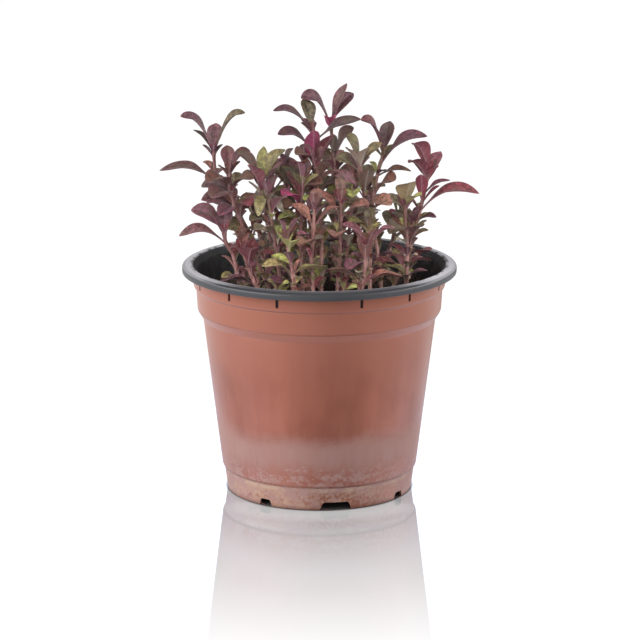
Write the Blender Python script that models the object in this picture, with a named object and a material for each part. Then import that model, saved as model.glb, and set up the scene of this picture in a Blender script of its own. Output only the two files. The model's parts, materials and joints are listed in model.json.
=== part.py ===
"""A young alternanthera in a 12 cm nursery pot.

The pot is a terracotta-coloured shell around a black liner with a rolled rim. Soil fills the
liner to 12 mm under the rim. Each leafy shoot stands in its own hole in the soil, and its leaves
are fused to its stem. Sizes are in millimetres: X to the right, Y to the back, Z up, with the
origin under the middle of the pot.
"""

import math
import random
from typing import NamedTuple

import bmesh
import bpy
from mathutils import Matrix, Quaternion, Vector
from mathutils.bvhtree import BVHTree

MM = 0.001
UP = Vector((0, 0, 1))
SHARP_ANGLE = 35

# Pot
POT_HEIGHT = 101.0
RIM_RADIUS = 60.0
FOOT_RADIUS = 40.6
SHELL_WALL = 0.9
LINER_WALL = 0.8
GAP = 0.3
SIDES = 40
SKIRT_HEIGHT = 3.7
SKIRT_WALL = 1.0
LIP_THICKNESS = 1.3
RIM_CREST_RADIUS = 55.8
RIM_SHOULDER = (58.9, 0.5)
RIM_EDGE_DROP = 1.2
RIM_INNER_DROP = 0.9
SHELL_TOP = POT_HEIGHT - LIP_THICKNESS - GAP
FOOT_RING_HEIGHT = 4.0
FOOT_RING_SLOPE = 0.4
CAVITY_FROM = 10.5
SHELL_FLOOR = 1.0
SHELL_FLOOR_RADIUS = 40.3
LINER_FLOOR_RADIUS = SHELL_FLOOR_RADIUS - GAP

# Outside of the shell from the foot up, as radius and height
SHELL_OUTSIDE = (
    (FOOT_RADIUS, 0.0),
    (41.9, 9.7),
    (42.8, 11.1),
    (50.9, 77.0),
    (53.3, 80.8),
    (53.9, 90.4),
    (55.0, 91.4),
    (55.2, SHELL_TOP),
)

# Slits through the band under the rim, in degrees from the front
SLIT_ANGLES = tuple(side * (19.0 + 25.3 * turn) for side in (-1, 1) for turn in range(6))
SLIT_WIDTH = 1.3
SLIT_FOOT = 92.6
SLIT_REACH = (52.0, 57.0)

# Notches in the foot ring, four wide and four narrow
WIDE_NOTCH = (14.5, 11.0, 3.7)
NARROW_NOTCH = (6.5, 5.0, 3.2)
WIDE_NOTCHES = (10.0, 104.0, 190.0, 256.0)
NARROW_NOTCHES = (57.5, 145.0, 235.0, 325.0)
FIRST_DRAIN = 10.0
NOTCH_REACH = (36.0, 46.0)
DRAIN_RADIUS = 3.0
DRAIN_CIRCLE = 33.0
DRAIN_SIDES = 6

# Soil
SOIL_TOP = 88.5
SOIL_RADIUS = 51.2
SOIL_SHOULDER = 82.0
SOIL_EDGE_DROP = 0.5
SOIL_LUMP = 1.2
SOIL_SWING = 2.0
SOIL_RINGS = (1.0, 0.8, 0.56, 0.3)

# Shoots
STEM_SIDES = 5
STEM_FOOT_RADIUS = 0.88
STEM_TIP_RADIUS = 0.6
STEM_STEP = 18.0
STEM_DEPTH = 7.0
STEM_UPRIGHT_TO = 92.0
PETIOLE_WIDTH = 1.1
BLADE_THICKNESS = 0.9
BLADE_FOLD = 0.28
LEAF_STATIONS = ((0.0, 0.0), (0.34, 0.32), (0.57, 1.0), (0.81, 0.66))
UPRIGHT_LEAF_STATIONS = ((0.0, 0.0), (0.34, 0.48), (0.62, 1.0), (0.85, 0.68))
SHORT_LEAF_STATIONS = ((0.0, 0.0), (0.54, 1.0), (0.8, 0.66))
SHORT_LEAF = 18.0
UPRIGHT = 0.8
LEAF_LEAN = 20.0
CLEARANCE = 0.4
FORK_SHARE = 0.3
SPINE_STEP = 0.04
LEAF_TURNS = (0, 7, -7, 14, -14, 22, -22, 32, -32, 45, -45)
LEAF_LIFTS = (0, 7, -7, 15, -15, 25)
LEAF_SCALES = (1.0, 0.86, 0.72)

# Shoots between the ones placed by hand
FILLER_COUNT = 35
FILLER_FEET = (33.0, 35.0)
FILLER_SPREAD = 1.26
FILLER_TOP = 149.0
FILLER_DROP = 20.0
FILLER_BACK_DROP = 0.15
FILLER_UNEVEN = 26.0
FILLER_BEND = 1.15
FILLER_SWAY = 2.5
FEET_APART = 6.4

# Behind this line a shoot between has two pairs of leaves, before it three
FILLER_BACK = 12.0

# Pairs of leaves on them: distance under the head, length and rise in degrees
FILLER_PAIRS = ((1, 10, 62), (8, 15, 36), (17, 16, 14))

# How they vary: degrees of heading and rise, shares of length and width, arch and lean
FILLER_HEADING = 14
FILLER_RISE = 12
FILLER_LENGTH = (0.85, 1.12)
FILLER_WIDTH = (0.38, 0.46)
FILLER_ARCH = (0.15, 0.32)
FILLER_LEAN = (-8, 24)
SEED = 7


class Leaf(NamedTuple):
    """A leaf by the height where it leaves the stem, its tip, its width and its arch.

    Lean is how many degrees its upper face turns to the front, where the light comes from.
    """

    height: float
    tip: tuple
    width: float
    arch: float
    lean: float = LEAF_LEAN


class Shoot(NamedTuple):
    """A stem by its foot in the soil and the points that it passes, with its leaves."""

    foot: tuple
    stem: tuple
    leaves: tuple


SHOOTS = {
    "upper_left": Shoot(
        foot=(-27, 8),
        stem=((-35, 6, 110), (-42, 4, 127), (-45, 3, 139), (-46, 2, 150)),
        leaves=(
            Leaf(150, (-60, -3, 166), 7, 0.37),
            Leaf(149, (-55, 9, 158), 3.5, 0.2, 0),
            Leaf(149, (-45, 9, 161), 6, 0.1),
            Leaf(149, (-32, 0, 167), 6, 0.4, 10),
            Leaf(136, (-69.4, -2, 142), 7.5, 0.25, 10),
            Leaf(126, (-34, 18, 126), 7, 0.2),
            Leaf(124, (-49, 16, 124), 7, 0.2),
        ),
    ),
    "left_front": Shoot(
        foot=(-22, -10),
        stem=((-30, -12, 111), (-35, -14, 125), (-38, -14, 135), (-39, -13, 144)),
        leaves=(
            Leaf(143, (-40, -6, 154), 5.5, 0.1),
            Leaf(138, (-48, -24, 141), 9.5, 0.35),
            Leaf(134, (-46, -27, 135), 9.5, 0.25, 30),
            Leaf(134, (-51, -10, 137), 9, 0.3, 30),
            Leaf(142, (-35, -4, 152), 4.5, 0.5),
            Leaf(136, (-28, -20, 142), 8, 0.3),
            Leaf(129, (-29, -24, 131), 6.5, 0.2, 30),
            Leaf(128, (-43, -26, 127), 7, 0.2),
        ),
    ),
    "low_left": Shoot(
        foot=(-34, -18),
        stem=((-37, -21, 108), (-40, -22, 114), (-41, -23, 120)),
        leaves=(
            Leaf(118, (-55, -24, 129), 8, 0.3, 40),
            Leaf(114, (-60, -30, 119), 7.5, 0.33, 8),
            Leaf(119, (-41, -17, 129), 6.5, 0.1),
            Leaf(112, (-30, -27, 112), 6, 0.25),
        ),
    ),
    "purple_mass": Shoot(
        foot=(-19, 0),
        stem=((-26, -2, 106), (-32, -4, 118), (-37, -6, 127)),
        leaves=(
            Leaf(126, (-51, -12, 131), 8, 0.25, 30),
            Leaf(127, (-43, 4, 133), 7, 0.15),
            Leaf(126, (-32, -16, 128), 5, 0.3),
            Leaf(112, (-40, -14, 119), 8.5, 0.28, 40),
            Leaf(114, (-24, -8, 125), 6.5, 0.2, 35),
            Leaf(122, (-27, 8, 130), 7, 0.2),
        ),
    ),
    "funnel": Shoot(
        foot=(-16, -12),
        stem=((-17, -14, 102), (-21, -16, 114), (-23, -17, 126), (-25, -17, 137)),
        leaves=(
            Leaf(135, (-28, -25, 149), 7.5, 0.08),
            Leaf(136, (-16, -19, 149), 7.5, 0.12),
            Leaf(137, (-33, -9, 153), 6.5, 0.3),
            Leaf(137, (-24, -8, 154), 4.5, 0.05),
            Leaf(137, (-14, -12, 153), 6.3, 0.3),
            Leaf(134, (-26, -27, 127), 4.5, 0.45),
            Leaf(133, (-20, -27, 128), 4.5, 0.45),
            Leaf(126, (-12, -21, 130), 7.5, 0.3),
            Leaf(122, (-30, -22, 124), 6.5, 0.3),
        ),
    ),
    "inner_left": Shoot(
        foot=(-5, -6),
        stem=((-7, -8, 110), (-6, -9, 120), (-9, -10, 129), (-9, -10, 134)),
        leaves=(
            Leaf(132, (-17, -6, 145), 8.5, 0.12, 40),
            Leaf(128, (-14, -24, 135), 7, 0.3, 40),
            Leaf(125, (-20, -14, 132), 7, 0.3, 30),
            Leaf(133, (-5, 0, 147), 6, 0.05),
            Leaf(131, (3, -19, 136), 7.5, 0.3, 30),
            Leaf(121, (5, -15, 127), 7.5, 0.3, 30),
            Leaf(117, (-16, -17, 119), 7.5, 0.3, 40),
        ),
    ),
    "tall_left": Shoot(
        foot=(0, 3),
        stem=((-1, 2, 106), (-1, 1, 122), (-2, 0, 139), (-3, 0, 160)),
        leaves=(
            Leaf(159, (-20, -6, 169), 6.5, 0.3, 10),
            Leaf(160, (-7, 5, 172.5), 6.2, 0.1),
            Leaf(157, (-8, 4, 164), 3, 0.2),
            Leaf(150, (-18, -8, 159), 8, 0.3, 25),
            Leaf(143, (-6, -8, 161), 7, 0.05),
            Leaf(142, (4, -9, 159), 7, 0.05),
            Leaf(154, (18, -10, 166), 7.5, 0.12, 25),
            Leaf(144, (-13, -10, 151), 7.5, 0.25, 30),
            Leaf(129, (8, -8, 138), 7.5, 0.25, 30),
            Leaf(127, (-9, 14, 135), 7, 0.25),
        ),
    ),
    "tall_right": Shoot(
        foot=(8, 7),
        stem=((7, 7, 109), (6, 7, 127), (6, 7, 145), (5, 6, 161)),
        leaves=(
            Leaf(160, (12, 12, 178), 4.8, 0.12),
            Leaf(160, (15, 15, 173), 5.5, 0.25, 40),
            Leaf(160, (-8, 2, 173), 7.5, 0.5, 30),
            Leaf(160, (2, -1, 166), 3.2, 0.1),
            Leaf(145, (15, 3, 160), 8.5, 0.15, 50),
            Leaf(148, (6, -1, 158), 3.5, 0.02),
            Leaf(143, (-4, 12, 147), 7, 0.25),
            Leaf(138, (15, -1, 141), 7, 0.3),
            Leaf(130, (-4, 17, 133), 7, 0.3),
            Leaf(129, (15, 14, 131), 7, 0.3),
        ),
    ),
    "grey_green": Shoot(
        foot=(22, -9),
        stem=((22, -9, 111), (21, -10, 125), (19, -10, 135), (17, -10, 146)),
        leaves=(
            Leaf(145, (11, -16, 155), 5, 0.1),
            Leaf(146, (12, -6, 159), 4.5, 0.3, 30),
            Leaf(144, (27, -12, 156), 7, 0.1, 40),
            Leaf(144, (17, -18, 154), 5.5, 0.1),
            Leaf(142, (7, -12, 149), 7, 0.3, 35),
            Leaf(134, (21, -18, 145), 6, 0.05),
            Leaf(131, (7, -18, 143), 7, 0.2, 40),
            Leaf(128, (12, -23, 132), 7, 0.3),
            Leaf(128, (31, -18, 130), 7.5, 0.3, 30),
            Leaf(118, (12, -16, 121), 7, 0.3),
        ),
    ),
    "right_top": Shoot(
        foot=(27, 6),
        stem=((25, 6, 107), (23, 6, 121), (25, 7, 137), (28, 8, 148)),
        leaves=(
            Leaf(148, (18, 4, 163), 6.5, 0.45, 30),
            Leaf(148, (31, 14, 161), 6, 0.08),
            Leaf(143, (47, 4, 156), 7.5, 0.3),
            Leaf(138, (40, 2, 141), 5, 0.2, 0),
            Leaf(130, (33, -3, 138), 8.5, 0.25, 40),
            Leaf(134, (16, 20, 139), 7, 0.2),
            Leaf(122, (33, 20, 125), 7, 0.25),
        ),
    ),
    "green_round": Shoot(
        foot=(38, -9),
        stem=((38, -9, 111), (37, -9, 122), (37, -9, 128)),
        leaves=(
            Leaf(127, (39, -13, 139), 9, 0.22, 30),
            Leaf(127, (44, -16, 134), 6, 0.2),
            Leaf(125, (28, -13, 131), 7.5, 0.3, 30),
            Leaf(117, (30, -21, 118), 7.5, 0.3, 30),
        ),
    ),
    "right": Shoot(
        foot=(38, 4),
        stem=((39, 3, 103), (41, 3, 113), (44.5, 3, 126), (47.5, 3, 141)),
        leaves=(
            Leaf(141, (39, 2, 153.5), 7.5, 0.45, 45),
            Leaf(137, (38.5, -2, 145.5), 7, 0.45, 40),
            Leaf(134, (53, 9, 148.5), 7.5, 0.08),
            Leaf(131, (57, 2, 137), 3, 0.2),
            Leaf(127, (44, -5, 141), 5, 0.03),
            Leaf(127, (49, -4, 141), 5, 0.05),
            Leaf(123, (69.4, -3, 132), 8, 0.34, 10),
            Leaf(119, (51, 0, 121), 4, 0.2),
            Leaf(115, (32, 16, 120), 7, 0.25),
        ),
    ),
    "red_sprout": Shoot(
        foot=(-33, 6),
        stem=((-33, 5, 97),),
        leaves=(
            Leaf(95, (-38, 3, 99), 3, 0.1),
            Leaf(95, (-29, 5, 99), 3, 0.1),
        ),
    ),
    "inside_right": Shoot(
        foot=(40, 22),
        stem=((41, 21, 97),),
        leaves=(Leaf(95, (49, 11, 104), 6, 0.2),),
    ),
    "lime_sprout": Shoot(
        foot=(10, -31),
        stem=((11, -32, 96),),
        leaves=(
            Leaf(94, (16, -36, 98), 4, 0.25, 30),
            Leaf(95, (8, -35, 101), 4, 0.2, 30),
        ),
    ),
    "olive_sprout": Shoot(
        foot=(-18, -28),
        stem=((-18, -29, 96),),
        leaves=(
            Leaf(94, (-13, -32, 99), 4, 0.25, 30),
            Leaf(95, (-22, -32, 100), 3.5, 0.2, 30),
        ),
    ),
}


def material(name, colour, roughness, metallic=0.0):
    made = bpy.data.materials.new(name)
    made.use_nodes = True
    shader = made.node_tree.nodes["Principled BSDF"]
    shader.inputs["Base Color"].default_value = (*colour, 1)
    shader.inputs["Roughness"].default_value = roughness
    shader.inputs["Metallic"].default_value = metallic
    return made


def new_object(name, mesh, finish, collection=None):
    """An object in metres from a bmesh in millimetres, with smooth faces between sharp edges."""
    mesh.transform(Matrix.Scale(MM, 4))
    bmesh.ops.recalc_face_normals(mesh, faces=mesh.faces)
    data = bpy.data.meshes.new(name)
    mesh.to_mesh(data)
    mesh.free()
    data.materials.append(finish)
    data.shade_smooth()
    data.set_sharp_from_angle(angle=math.radians(SHARP_ANGLE))
    made = bpy.data.objects.new(name, data)
    (collection or bpy.context.scene.collection).objects.link(made)
    return made


def around(radius, degrees, height):
    """A point by its degrees from the front, counted towards +X."""
    angle = math.radians(degrees)
    return Vector((radius * math.sin(angle), -radius * math.cos(angle), height))


def turned_ring(profile):
    """A closed profile of radius and height, turned once round the Z axis."""
    mesh = bmesh.new()
    points = [mesh.verts.new((radius, 0, height)) for radius, height in profile]
    edges = [mesh.edges.new((a, b)) for a, b in zip(points, points[1:] + points[:1])]
    bmesh.ops.spin(
        mesh,
        geom=points + edges,
        axis=UP,
        cent=(0, 0, 0),
        angle=math.tau,
        steps=SIDES,
        use_merge=True,
    )
    return mesh


def inset_profile(profile, wall):
    """The inner side of a wall, from the top down, without the foot ring's points."""
    upper = [point for point in reversed(profile) if point[1] > CAVITY_FROM]
    return [(radius - wall, height) for radius, height in upper]


def cut(body, cutters, name):
    """Takes a collection of cutters away from a body and deletes them."""
    modifier = body.modifiers.new(name, "BOOLEAN")
    modifier.operation = "DIFFERENCE"
    join_collection(body, modifier, cutters)


def join_collection(body, modifier, members):
    modifier.operand_type = "COLLECTION"
    modifier.collection = members
    modifier.solver = "MANIFOLD"
    graph = bpy.context.evaluated_depsgraph_get()
    result = bpy.data.meshes.new_from_object(body.evaluated_get(graph))
    result.name = body.name
    body.modifiers.remove(modifier)
    body.data = result
    for member in list(members.objects):
        bpy.data.objects.remove(member)
    bpy.data.collections.remove(members)
    keep_largest_surface(result)


def keep_largest_surface(data):
    """Drops the small closed surfaces that a join leaves, which fills a hollow between petioles."""
    mesh = bmesh.new()
    mesh.from_mesh(data)
    waiting = set(mesh.verts)
    surfaces = []
    while waiting:
        reached = [waiting.pop()]
        for vert in reached:
            near = {edge.other_vert(vert) for edge in vert.link_edges} & waiting
            waiting -= near
            reached.extend(near)
        surfaces.append(reached)
    surfaces.sort(key=len)
    spare = [vert for surface in surfaces[:-1] for vert in surface]
    bmesh.ops.delete(mesh, geom=spare, context="VERTS")
    mesh.to_mesh(data)
    mesh.free()


def helper_collection(name):
    made = bpy.data.collections.new(name)
    bpy.context.scene.collection.children.link(made)
    return made


def prism(outline, height):
    """A closed block from a flat outline, raised along Z."""
    mesh = bmesh.new()
    base = mesh.faces.new([mesh.verts.new(point) for point in outline])
    raised = bmesh.ops.extrude_face_region(mesh, geom=[base])
    points = [item for item in raised["geom"] if isinstance(item, bmesh.types.BMVert)]
    bmesh.ops.translate(mesh, vec=(0, 0, height), verts=points)
    return mesh


def round_outline(centre, radius, sides):
    """Corners of a regular outline whose flats lie at the given radius."""
    corner = radius / math.cos(math.pi / sides)
    angles = (math.tau * (index + 0.5) / sides for index in range(sides))
    return [centre + Vector((corner * math.cos(a), corner * math.sin(a), 0)) for a in angles]


def cutter(collection, mesh, finish):
    made = new_object("cutter", mesh, finish, collection)
    made.hide_render = True
    made.display_type = "WIRE"


def radial_block(degrees, near, far, trapezoid, bottom):
    """A block across a ring, with a trapezoid for its face: width below, width above, height."""
    lower, upper, height = trapezoid
    middle = around(1.0, degrees, 0)
    side = UP.cross(middle)
    mesh = bmesh.new()
    corners = []
    for distance in (near, far):
        for width, level in ((-lower, 0), (lower, 0), (upper, height), (-upper, height)):
            place = middle * distance + side * (width / 2) + UP * (bottom + level)
            corners.append(mesh.verts.new(place))
    front, back = corners[:4], corners[4:]
    mesh.faces.new(front)
    mesh.faces.new(list(reversed(back)))
    for index in range(4):
        after = (index + 1) % 4
        mesh.faces.new((front[index], front[after], back[after], back[index]))
    return mesh


def drain_cutters(collection, finish, bottom, height):
    for turn in range(4):
        centre = around(DRAIN_CIRCLE, FIRST_DRAIN + 90 * turn, bottom)
        outline = round_outline(centre, DRAIN_RADIUS, DRAIN_SIDES)
        cutter(collection, prism(outline, height), finish)


def pot_outer_shell(finish):
    inside = inset_profile(SHELL_OUTSIDE, SHELL_WALL)
    floor = FOOT_RING_HEIGHT + SHELL_FLOOR
    profile = [
        *SHELL_OUTSIDE,
        *inside,
        (SHELL_FLOOR_RADIUS, floor),
        (DRAIN_RADIUS, floor),
        (DRAIN_RADIUS, FOOT_RING_HEIGHT),
        (FOOT_RADIUS + FOOT_RING_SLOPE - SHELL_WALL, FOOT_RING_HEIGHT),
        (FOOT_RADIUS - SHELL_WALL, 0.0),
    ]
    shell = new_object("pot_outer_shell", turned_ring(profile), finish)
    cutters = helper_collection("shell cutters")
    slit = (SLIT_WIDTH, SLIT_WIDTH, POT_HEIGHT - SLIT_FOOT)
    for degrees in SLIT_ANGLES:
        cutter(cutters, radial_block(degrees, *SLIT_REACH, slit, SLIT_FOOT), finish)
    for places, (lower, upper, height) in (
        (WIDE_NOTCHES, WIDE_NOTCH),
        (NARROW_NOTCHES, NARROW_NOTCH),
    ):
        notch = (lower, upper, height + 1.0)
        for degrees in places:
            cutter(cutters, radial_block(degrees, *NOTCH_REACH, notch, -1.0), finish)
    drain_cutters(cutters, finish, FOOT_RING_HEIGHT - 1, SHELL_FLOOR + 2)
    cut(shell, cutters, "slits, notches and drain holes")
    return shell


def liner_inside():
    """The liner's inner side from the rim down, without its floor."""
    return inset_profile(SHELL_OUTSIDE, SHELL_WALL + GAP + LINER_WALL)[1:]


def liner_floor():
    """Heights of the underside and the top of the liner's floor."""
    under = FOOT_RING_HEIGHT + SHELL_FLOOR + GAP
    return under, under + LINER_WALL


def pot_inner_liner(finish):
    outside = inset_profile(SHELL_OUTSIDE, SHELL_WALL + GAP)
    under, floor = liner_floor()
    lip = POT_HEIGHT - LIP_THICKNESS
    wall_top = outside[0][0]
    profile = [
        (RIM_RADIUS, POT_HEIGHT - SKIRT_HEIGHT),
        (RIM_RADIUS, POT_HEIGHT - RIM_EDGE_DROP),
        (RIM_SHOULDER[0], POT_HEIGHT - RIM_SHOULDER[1]),
        (RIM_CREST_RADIUS, POT_HEIGHT),
        (wall_top - LINER_WALL, POT_HEIGHT - RIM_INNER_DROP),
        *liner_inside(),
        (LINER_FLOOR_RADIUS - LINER_WALL, floor),
        (DRAIN_RADIUS, floor),
        (DRAIN_RADIUS, under),
        (LINER_FLOOR_RADIUS, under),
        *reversed(outside[1:]),
        (wall_top, lip),
        (RIM_RADIUS - SKIRT_WALL, lip),
        (RIM_RADIUS - SKIRT_WALL, POT_HEIGHT - SKIRT_HEIGHT),
    ]
    liner = new_object("pot_inner_liner", turned_ring(profile), finish)
    cutters = helper_collection("liner cutters")
    drain_cutters(cutters, finish, under - 1, LINER_WALL + 2)
    cut(liner, cutters, "drain holes")
    return liner


def soil(finish, feet):
    """The root ball: it fills the liner and is lumpy on top, with a blind hole for each stem."""
    draw = random.Random(SEED)
    floor = liner_floor()[1] + GAP
    side = [(radius - GAP, height) for radius, height in liner_inside() if height < SOIL_SHOULDER]
    bottom_radius = LINER_FLOOR_RADIUS - LINER_WALL - GAP
    rings = [(bottom_radius, floor), *reversed(side), (SOIL_RADIUS, SOIL_TOP - SOIL_EDGE_DROP)]
    mesh = bmesh.new()
    loops = []
    for radius, height in rings:
        loops.append([mesh.verts.new(around(radius, 360 * k / SIDES, height)) for k in range(SIDES)])
    for share in SOIL_RINGS[1:]:
        loop = []
        for k in range(SIDES // 2):
            lump = draw.uniform(-SOIL_LUMP, SOIL_LUMP)
            swing = draw.uniform(-SOIL_SWING, SOIL_SWING)
            place = around(SOIL_RADIUS * share + swing, 720 * k / SIDES, SOIL_TOP + lump)
            loop.append(mesh.verts.new(place))
        loops.append(loop)
    for low, high in zip(loops, loops[1:]):
        bmesh.ops.bridge_loops(mesh, edges=loop_edges(mesh, low) + loop_edges(mesh, high))
    mesh.faces.new(loops[0])
    top = mesh.verts.new((0, 0, SOIL_TOP))
    for a, b in zip(loops[-1], loops[-1][1:] + loops[-1][:1]):
        mesh.faces.new((a, b, top))
    bmesh.ops.triangulate(mesh, faces=mesh.faces)
    body = new_object("soil", mesh, finish)
    cutters = helper_collection("stem holes")
    bottom = SOIL_TOP - STEM_DEPTH - GAP
    for x, y in feet:
        outline = round_outline(Vector((x, y, bottom)), STEM_FOOT_RADIUS + GAP, STEM_SIDES)
        cutter(cutters, prism(outline, STEM_DEPTH + 6), finish)
    cut(body, cutters, "stem holes")
    return body


def loop_edges(mesh, loop):
    """The edges of a closed loop of points, made where they are missing."""
    found = []
    for a, b in zip(loop, loop[1:] + loop[:1]):
        found.append(mesh.edges.get((a, b)) or mesh.edges.new((a, b)))
    return found


def smooth_path(points, step):
    """Points about one step apart on a smooth curve through the given points."""
    ends = [2 * points[0] - points[1], *points, 2 * points[-1] - points[-2]]
    path = [points[0]]
    for p0, p1, p2, p3 in zip(ends, ends[1:], ends[2:], ends[3:]):
        pieces = max(1, round((p2 - p1).length / step))
        for piece in range(1, pieces + 1):
            t = piece / pieces
            path.append(
                0.5
                * (
                    2 * p1
                    + (p2 - p0) * t
                    + (2 * p0 - 5 * p1 + 4 * p2 - p3) * t**2
                    + (3 * p1 - p0 - 3 * p2 + p3) * t**3
                )
            )
    return path


def stem_path(shoot):
    """The middle of a stem, from its foot in the soil to its head."""
    x, y = shoot.foot
    foot = Vector((x, y, SOIL_TOP - STEM_DEPTH))
    upright = Vector((x, y, STEM_UPRIGHT_TO))
    return [foot, *smooth_path([upright, *map(Vector, shoot.stem)], STEM_STEP)]


def point_at_height(path, height):
    for low, high in zip(path, path[1:]):
        if low.z <= height <= high.z:
            return low.lerp(high, (height - low.z) / (high.z - low.z))
    return path[-1].copy()


def tube(path, sides, first_radius, last_radius, margin=0.0):
    """A closed tapered tube along a path."""
    mesh = bmesh.new()
    loops = []
    turn = Quaternion()
    along = UP
    for index, place in enumerate(path):
        before = path[max(index - 1, 0)]
        after = path[min(index + 1, len(path) - 1)]
        ahead = (after - before).normalized() if index else UP
        turn = along.rotation_difference(ahead) @ turn
        along = ahead
        share = index / (len(path) - 1)
        radius = first_radius + (last_radius - first_radius) * share + margin
        loop = []
        for side in range(sides):
            angle = math.tau * (side + 0.5) / sides
            offset = turn @ Vector((radius * math.cos(angle), radius * math.sin(angle), 0))
            loop.append(mesh.verts.new(place + offset))
        loops.append(loop)
    for low, high in zip(loops, loops[1:]):
        for side in range(sides):
            after = (side + 1) % sides
            mesh.faces.new((low[side], low[after], high[after], high[side]))
    mesh.faces.new(list(reversed(loops[0])))
    mesh.faces.new(loops[-1])
    return mesh


def leaf_spine(base, tip, arch, share):
    """A place on the leaf's middle, from the stem at 0 to the tip at 1."""
    reach = tip - base
    bend = base + Vector((0.4 * reach.x, 0.4 * reach.y, 0.55 * reach.z))
    bend += UP * (arch * reach.length)
    low = base.lerp(bend, share)
    return low.lerp(bend.lerp(tip, share), share)


def leaf_side(reach, lean):
    """The direction across a leaf whose upper face turns by lean degrees to the front."""
    angle = math.radians(lean)
    face = Vector((0, -math.sin(angle), math.cos(angle)))
    return face.cross(Vector((reach.x, reach.y, 0))).normalized()


def stations_of(reach):
    """Where a leaf's outline turns, along its length, and how full it is there."""
    if reach.length <= SHORT_LEAF:
        return SHORT_LEAF_STATIONS
    return UPRIGHT_LEAF_STATIONS if reach.z > UPRIGHT * reach.length else LEAF_STATIONS


def blade(base, tip, leaf, scale, margin=0.0, start=0.0):
    """A closed leaf with a ridge on both faces, its petiole starting inside the stem."""
    reach = tip - base
    side = leaf_side(reach, leaf.lean)
    width = leaf.width * scale
    mesh = bmesh.new()
    loops = []
    stations = stations_of(reach)
    for share, fullness in stations:
        share = max(share, start)
        place = leaf_spine(base, tip, leaf.arch, share)
        ahead = (leaf_spine(base, tip, leaf.arch, share + SPINE_STEP) - place).normalized()
        across = (side - ahead * side.dot(ahead)).normalized()
        normal = ahead.cross(across)
        half = max(PETIOLE_WIDTH, width * fullness) / 2 + margin
        thick = BLADE_THICKNESS / 2 + margin
        edge = normal * (BLADE_FOLD * half * min(1.0, fullness))
        loop = [
            place - across * half + edge,
            place - normal * thick,
            place + across * half + edge,
            place + normal * thick,
        ]
        loops.append([mesh.verts.new(point) for point in loop])
    point = mesh.verts.new(tip + reach.normalized() * margin)
    for low, high in zip(loops, loops[1:]):
        for k in range(4):
            after = (k + 1) % 4
            a, b, c, d = low[k], low[after], high[after], high[k]
            if k % 2:
                mesh.faces.new((a, b, c))
                mesh.faces.new((a, c, d))
            else:
                mesh.faces.new((a, b, d))
                mesh.faces.new((b, c, d))
    for k in range(4):
        mesh.faces.new((loops[-1][k], loops[-1][(k + 1) % 4], point))
    mesh.faces.new(list(reversed(loops[0])))
    return mesh


def leaf_variations(base, leaf):
    """The leaf's tip and scale as planned, then turned, lifted and shortened a little."""
    reach = Vector(leaf.tip) - base
    side = leaf_side(reach, 0)
    for scale in LEAF_SCALES:
        for lift in LEAF_LIFTS:
            for turn in LEAF_TURNS:
                raised = Quaternion(side, math.radians(-lift)) @ reach
                swung = Quaternion(UP, math.radians(turn)) @ raised
                yield base + swung * scale, scale


def tree_of(mesh):
    tree = BVHTree.FromBMesh(mesh)
    points = [vert.co for vert in mesh.verts]
    low = Vector(min(point[axis] for point in points) for axis in range(3))
    high = Vector(max(point[axis] for point in points) for axis in range(3))
    return tree, low, high


def touching(a, b):
    tree_a, low_a, high_a = a
    tree_b, low_b, high_b = b
    apart = any(low_a[k] > high_b[k] or low_b[k] > high_a[k] for k in range(3))
    return not apart and bool(tree_a.overlap(tree_b))


def filler_shoots(taken):
    """Shoots on a spiral between the placed ones, with opposite leaves a quarter turn apart."""
    draw = random.Random(SEED)
    shoots = {}
    for index in range(FILLER_COUNT):
        share = math.sqrt((index + 0.5) / FILLER_COUNT)
        angle = index * math.radians(137.508)
        x = FILLER_FEET[0] * share * math.cos(angle)
        y = FILLER_FEET[1] * share * math.sin(angle)
        lean = draw.uniform(-FILLER_SWAY, FILLER_SWAY)
        sway = draw.uniform(-FILLER_SWAY, FILLER_SWAY)
        top = FILLER_TOP - FILLER_DROP * share**2 - FILLER_BACK_DROP * y
        top -= draw.uniform(0, FILLER_UNEVEN)
        heading = draw.uniform(0, 90)
        if any(math.dist((x, y), other) < FEET_APART for other in taken):
            continue
        taken.append((x, y))
        head = Vector((x * FILLER_SPREAD + lean, y * FILLER_SPREAD + sway, top))
        middle = Vector((x * FILLER_BEND, y * FILLER_BEND, (SOIL_TOP + top) / 2))
        shoots[f"filler_{len(shoots) + 1:02d}"] = Shoot(
            foot=(x, y),
            stem=(tuple(middle), tuple(head)),
            leaves=tuple(filler_leaves(draw, middle, head, heading)),
        )
    return shoots


def filler_leaves(draw, middle, head, heading):
    """Two or three pairs of leaves: short and upright at the head, longer and flatter below it."""
    pairs = FILLER_PAIRS[:2] if middle.y > FILLER_BACK else FILLER_PAIRS
    for level, (drop, length, rise) in enumerate(pairs):
        height = head.z - drop
        stem = middle.lerp(head, (height - middle.z) / (head.z - middle.z))
        for opposite in (0, 180):
            swing = draw.uniform(-FILLER_HEADING, FILLER_HEADING)
            angle = math.radians(heading + 90 * level + opposite + swing)
            lift = math.radians(rise + draw.uniform(-FILLER_RISE, FILLER_RISE))
            reach = length * draw.uniform(*FILLER_LENGTH)
            flat = math.cos(lift) * reach
            rise_to_tip = math.sin(lift) * reach
            tip = stem + Vector((flat * math.cos(angle), flat * math.sin(angle), rise_to_tip))
            width = reach * draw.uniform(*FILLER_WIDTH)
            arch = draw.uniform(*FILLER_ARCH)
            yield Leaf(height, tuple(tip), width, arch, draw.uniform(*FILLER_LEAN))


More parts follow.
